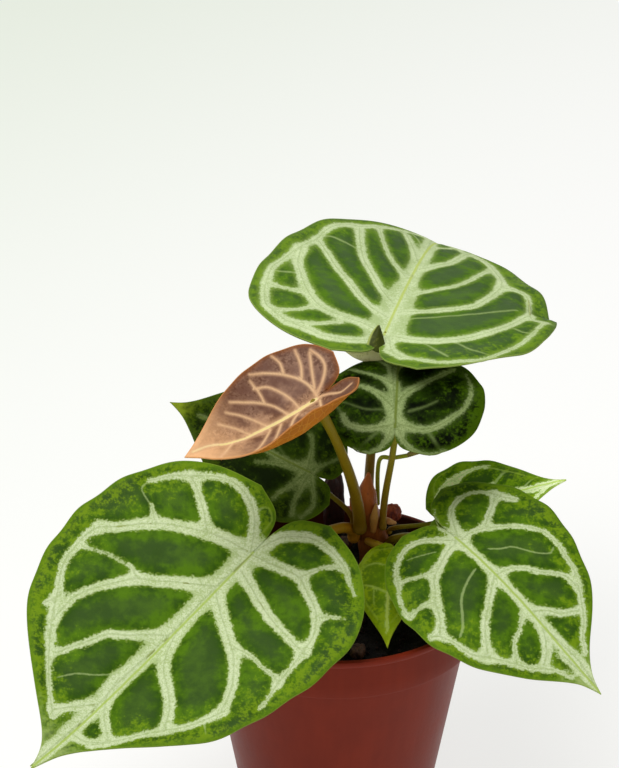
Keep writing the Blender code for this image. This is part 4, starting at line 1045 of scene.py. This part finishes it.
def stalkMaterial(name, foot, end, ridges):
    made, paint, shader = newMaterial(name)
    along = paint.attribute("along")
    blotch, grain = paint.noise(0.004, 3), paint.noise(0.0009, 3, stretch=(1, 1, 0.35))
    colour = (along + blotch * 0.5).ease(0.05, 0.9).mix(srgb(*foot), srgb(*end))
    dark = tuple(0.5 * v for v in srgb(*foot))
    colour = ((grain * 1.6 + blotch - 0.12).ease(0.0, 0.5) * 0.6).mix(colour, dark)
    finishMaterial(paint, shader, {
        "Base Color": colour, "Roughness": 0.46 + grain * 0.3,
        "Normal": paint.bump(grain + blotch * 0.6, ridges, 0.0003),
    }, {"Specular IOR Level": 0.2})
    return made


def stemAt(height):
    points = np.array(stemSize["points"])
    centre = np.array([np.interp(height, points[:, 2], points[:, 0]), np.interp(height, points[:, 2], points[:, 1]),
                       height])
    return centre, float(np.interp(height, points[:, 2], stemSize["radii"]))


def besideStem(angle, height, radius):
    centre, stemRadius = stemAt(height)
    turn = math.radians(angle)
    return centre + np.array([math.cos(turn), math.sin(turn), 0]) * (stemRadius + radius + stemSize["clear"])


def addTube(node, path, radii, looks, slot, sides=20):
    path, radii = roundEnds(path, radii)
    rings = sweep(path, radii, sides)
    along = np.repeat(np.linspace(0, 1, len(path)), sides)
    made = addMesh(pieceName(node), rings, tubeFaces(len(path), sides), looks, slot, fields={"along": along})
    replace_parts(made, node)
    return made


def buildStem():
    # the radius swells into rings where old leaves stood, and leans in and out round the stem
    path = smoothPath(stemSize["points"], stemSize["rings"])
    share = np.linspace(0, 1, len(path))
    radii = np.interp(share, np.linspace(0, 1, len(stemSize["radii"])), stemSize["radii"])
    angle = np.linspace(0, 2 * math.pi, stemSize["sides"], endpoint=False)[None]
    climb = (share * 34)[:, None]
    rings = 0.05 * np.sin(climb + 0.8 * np.sin(angle + 1)) + 0.05 * np.sin(3 * angle + climb * 0.4)
    wrap = 0.03 * np.sin(9 * angle - climb * 0.7)
    radius = radii[:, None] * (1 + (rings + wrap) * np.clip(1.6 - 1.4 * share[:, None], 0, 1))
    points = sweep(path, radius, stemSize["sides"])
    along = np.repeat(share, stemSize["sides"])
    look = stalkMaterial("stemBark", (104, 60, 20), (172, 92, 36), 0.9)
    stem = addMesh("stemCore", points, tubeFaces(len(path), stemSize["sides"]), [look], "stem_brown",
                   fields={"along": along})
    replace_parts(stem, "stem")


def buildStalk(node, stalk, leaf):
    # a cubic Bezier from beside the stem to the blade, run on a little way under the midrib
    footRadius, endRadius = stalk["radii"]
    foot = besideStem(stalk["angle"], stalk["height"], footRadius)
    along, across, up = leafAxes(leaf)
    back = np.array(stalk["back"])
    lean = np.linalg.norm(np.cross(back / np.linalg.norm(back), up))
    depth = stemSize["thick"] + 1.5 * stemSize["clear"] + lean * endRadius - stalk.get("closer", 0)
    end = np.array(leaf["at"]) - up * depth + along * endRadius
    t = np.linspace(0, 1, 26)[:, None]
    first, last = foot + np.array([0, 0, stalk["rise"]]), end + back
    curve = foot * (1 - t) ** 3 + first * 3 * t * (1 - t) ** 2 + last * 3 * t**2 * (1 - t) + end * t**3
    reach = np.array([0.35, 0.65, 1.0]) * min(0.016, leaf["length"] * 0.2)
    slim = endRadius * np.array([0.8, 0.62, 0.4])
    under = bendLeaf(np.stack([reach + 0.002, 0 * reach], -1), leaf, -(bladeLooks["thick"] + 1.05 * slim))
    path = smoothPath(np.vstack([curve, under]), 90)
    share = np.linspace(0, 1, 90) * (len(curve) + len(under) - 1) / (len(curve) - 1)
    radii = np.interp(share, [0, 0.08, 0.8, 0.93, 1, share[-1]],
                      np.array([footRadius * 1.12, footRadius, endRadius * 1.02, endRadius * 1.18, endRadius,
                                slim[-1]]))
    look = stalkMaterial(pieceName(node) + "Skin", stalk["foot"], stalk["end"], 0.4)
    addTube(node, path, radii, [look], "stalk_green")


def buildGrowth(node, growth):
    foot = besideStem(growth["angle"], growth["height"], growth["radii"][0])
    way = np.array(growth["way"])
    bow = np.array([way[1], -way[0], 0]) * 0.12
    path = smoothPath(np.array([foot, foot + way * 0.5 + bow, foot + way]), 30)
    radii = np.interp(np.linspace(0, 1, 30), np.linspace(0, 1, 3), growth["radii"])
    look = stalkMaterial(pieceName(node) + "Skin", growth["foot"], growth["end"], 0.7)
    addTube(node, path, radii, [look], "stem_brown")


def buildFlower():
    # the spike's radius is knobbed: two crossed spirals of sine bumps over its taper
    foot = besideStem(flowerSize["angle"], flowerSize["height"], flowerSize["radius"])
    way = np.vstack([foot, flowerSize["way"]])
    look = stalkMaterial("flowerStalkSkin", flowerSize["foot"], flowerSize["end"], 0.3)
    path = smoothPath(way, 60)
    addTube("flower_stalk", path, np.full(60, flowerSize["radius"]), [look], "stalk_green", 16)
    spike = np.array(flowerSize["spike"])
    start = way[-1] + spike / np.linalg.norm(spike) * 2 * stemSize["clear"]
    share = np.linspace(0, 1, 70)
    radii = np.interp(share, np.linspace(0, 1, 4), flowerSize["spikeRadii"])
    axis, radii = roundEnds(start + spike * share[:, None], radii)
    angle = np.linspace(0, 2 * math.pi, 32, endpoint=False)[None]
    turn = np.linspace(0, 60, len(axis))[:, None]
    knobs = 0.10 * np.sin(turn + 4 * angle) * np.sin(turn - 4 * angle)
    points = sweep(axis, radii[:, None] * (1 + knobs), 32)
    skin = stalkMaterial("flowerSpikeSkin", (150, 136, 66), (176, 160, 84), 0.6)
    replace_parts(addMesh("flowerSpike", points, tubeFaces(len(axis), 32), [skin], "spike_tan",
                        fields={"along": np.repeat(np.linspace(0, 1, len(axis)), 32)}), "flower_spike")


buildStem()
for node, stalk in stalks.items():
    buildStalk(node, stalk, leaves[node.replace("stalk", "leaf")])
for node, growth in growths.items():
    buildGrowth(node, growth)
buildFlower()
print("stem and stalks made")


# half sizes and turn about Z as in the CAD; dark and light are the chip's colours
barks = {
    "bark_upright": {"size": (0.0042, 0.0030, 0.0165), "turn": 12, "dark": (26, 6, 4), "light": (62, 20, 14)},
    "bark_red": {"size": (0.0040, 0.0036, 0.0040), "turn": 30, "dark": (100, 26, 14), "light": (190, 84, 40)},
    "bark_left": {"size": (0.0052, 0.0036, 0.0032), "turn": 65, "dark": (40, 22, 14), "light": (92, 56, 36)},
    "bark_front": {"size": (0.0060, 0.0040, 0.0030), "turn": 20, "dark": (60, 26, 16), "light": (150, 70, 44)},
    "bark_right": {"size": (0.0050, 0.0038, 0.0030), "turn": 110, "dark": (30, 18, 12), "light": (84, 54, 36)},
    "bark_back": {"size": (0.0065, 0.0045, 0.0035), "turn": 150, "dark": (38, 22, 16), "light": (96, 60, 40)},
    "bark_rim": {"size": (0.0040, 0.0032, 0.0024), "turn": 80, "dark": (42, 26, 18), "light": (104, 66, 44)},
}


def barkMaterial(name, dark, light):
    made, paint, shader = newMaterial(name)
    blotch, fibre = paint.noise(0.003, 3), paint.noise(0.0011, 4, 0.65, (1, 1, 0.25))
    colour = (blotch + fibre * 1.4 + 0.5).ease(0.1, 0.95).mix(srgb(*dark), srgb(*light))
    finishMaterial(paint, shader, {
        "Base Color": colour, "Roughness": 0.55 + fibre * 0.5,
        "Normal": paint.bump(fibre + blotch * 0.5, 0.9, 0.0006),
    }, {"Specular IOR Level": 0.4})
    return made


def buildBark(node, bark, seed):
    # a rounded box, |x|^p + |y|^p + |z|^p = 1, ridged along its length by sine waves and chipped by
    # the same plane waves as the soil, then fitted to its CAD node's own box
    rows, turns, power = 26, 36, 3.2
    up = np.linspace(-math.pi / 2, math.pi / 2, rows)[:, None]
    angle = np.linspace(0, 2 * math.pi, turns, endpoint=False)[None]
    up = np.clip(up, -math.pi / 2 + 0.03, math.pi / 2 - 0.03)
    way = np.stack([np.cos(up) * np.cos(angle), np.cos(up) * np.sin(angle), np.sin(up) + 0 * angle], -1)
    way /= (np.abs(way) ** power).sum(-1, keepdims=True) ** (1 / power)
    rough = 1 + 0.10 * waves(way[..., 0] + 3 * way[..., 2], way[..., 1], 0.9, seed) + 0.05 * np.sin(
        7 * angle + 2 * waves(way[..., 2], way[..., 0], 1.4, seed + 20))
    points = way * rough[..., None] * bark["size"]
    turn = math.radians(bark["turn"])
    spin = np.array([[math.cos(turn), math.sin(turn), 0], [-math.sin(turn), math.cos(turn), 0], [0, 0, 1]])
    points = points.reshape(-1, 3) @ spin
    low, high = (np.array(corner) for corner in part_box(node))
    points = (points - points.min(0)) / np.ptp(points, axis=0) * (high - low) + low
    look = barkMaterial(pieceName(node) + "Skin", bark["dark"], bark["light"])
    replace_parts(addMesh(pieceName(node), points, tubeFaces(rows, turns), [look], "bark_dark"), node)


for seed, (node, bark) in enumerate(barks.items()):
    buildBark(node, bark, seed + 40)
print("bark made")


studio = {
    "floor": (0.30, 0.30, 0.29), "glow": (0.73, 0.73, 0.72), "tint": (0.58, 0.63, 0.54), "floorSize": 8.0,
    "world": (1.0, 1.0, 0.98, 0.30), "key": ((-0.45, -0.30, 1.75), 1.3, 25.0), "fill": ((0.9, -0.9, 0.9), 0.9, 2.0),
    "camera": (-0.0112, -0.93970, 0.69575), "pitch": 62, "lens": 126.5625, "film": 36,
}


def buildStage():
    half = studio["floorSize"] / 2
    mesh = bpy.data.meshes.new("floor")
    mesh.from_pydata([(-half, -half, 0), (half, -half, 0), (half, half, 0), (-half, half, 0)], [], [(0, 1, 2, 3)])
    made, paint, shader = newMaterial("paleFloor")
    # painted light: the floor glows, though it is no lamp, so that shade on it stays pale, and the glow falls to
    # the dimmer greenish tint towards the back left as a painted falloff of the light
    glowFalloff = (paint.axis(1) * 0.6 - paint.axis(0)).ease(0.1, 0.95)
    finishMaterial(paint, shader, {"Emission Color": glowFalloff.mix(studio["glow"], studio["tint"])},
                   {"Base Color": (*studio["floor"], 1), "Emission Strength": 1.0, "Roughness": 0.8,
                    "Specular IOR Level": 0.1})
    mesh.materials.append(made)
    floor = bpy.data.objects.new("floor", mesh)
    bpy.context.scene.collection.objects.link(floor)


def addLight(name, place, size, power):
    light = bpy.data.lights.new(name, "AREA")
    light.shape, light.size, light.energy = "DISK", size, power
    obj = bpy.data.objects.new(name, light)
    obj.location = place
    aim = np.array([0, 0, 0.12]) - place
    obj.rotation_euler = (math.atan2(math.hypot(aim[0], aim[1]), -aim[2]), 0, math.atan2(aim[0], -aim[1]) + math.pi)
    bpy.context.scene.collection.objects.link(obj)


def buildCamera():
    lens = bpy.data.cameras.new("camera")
    lens.lens, lens.sensor_width, lens.clip_start = studio["lens"], studio["film"], 0.01
    camera = bpy.data.objects.new("camera", lens)
    camera.location, camera.rotation_euler = studio["camera"], (math.radians(studio["pitch"]), 0, 0)
    bpy.context.scene.collection.objects.link(camera)
    bpy.context.scene.camera = camera


buildStage()
addLight("keyLight", *studio["key"])
addLight("fillLight", *studio["fill"])
buildCamera()
world = bpy.data.worlds.new("studio")
world.use_nodes = True
*tint, strength = studio["world"]
world.node_tree.nodes["Background"].inputs["Color"].default_value = (*tint, 1)
world.node_tree.nodes["Background"].inputs["Strength"].default_value = strength
bpy.context.scene.world = world
bpy.context.scene.view_settings.view_transform = "Standard"
print("stage, lights and camera set")
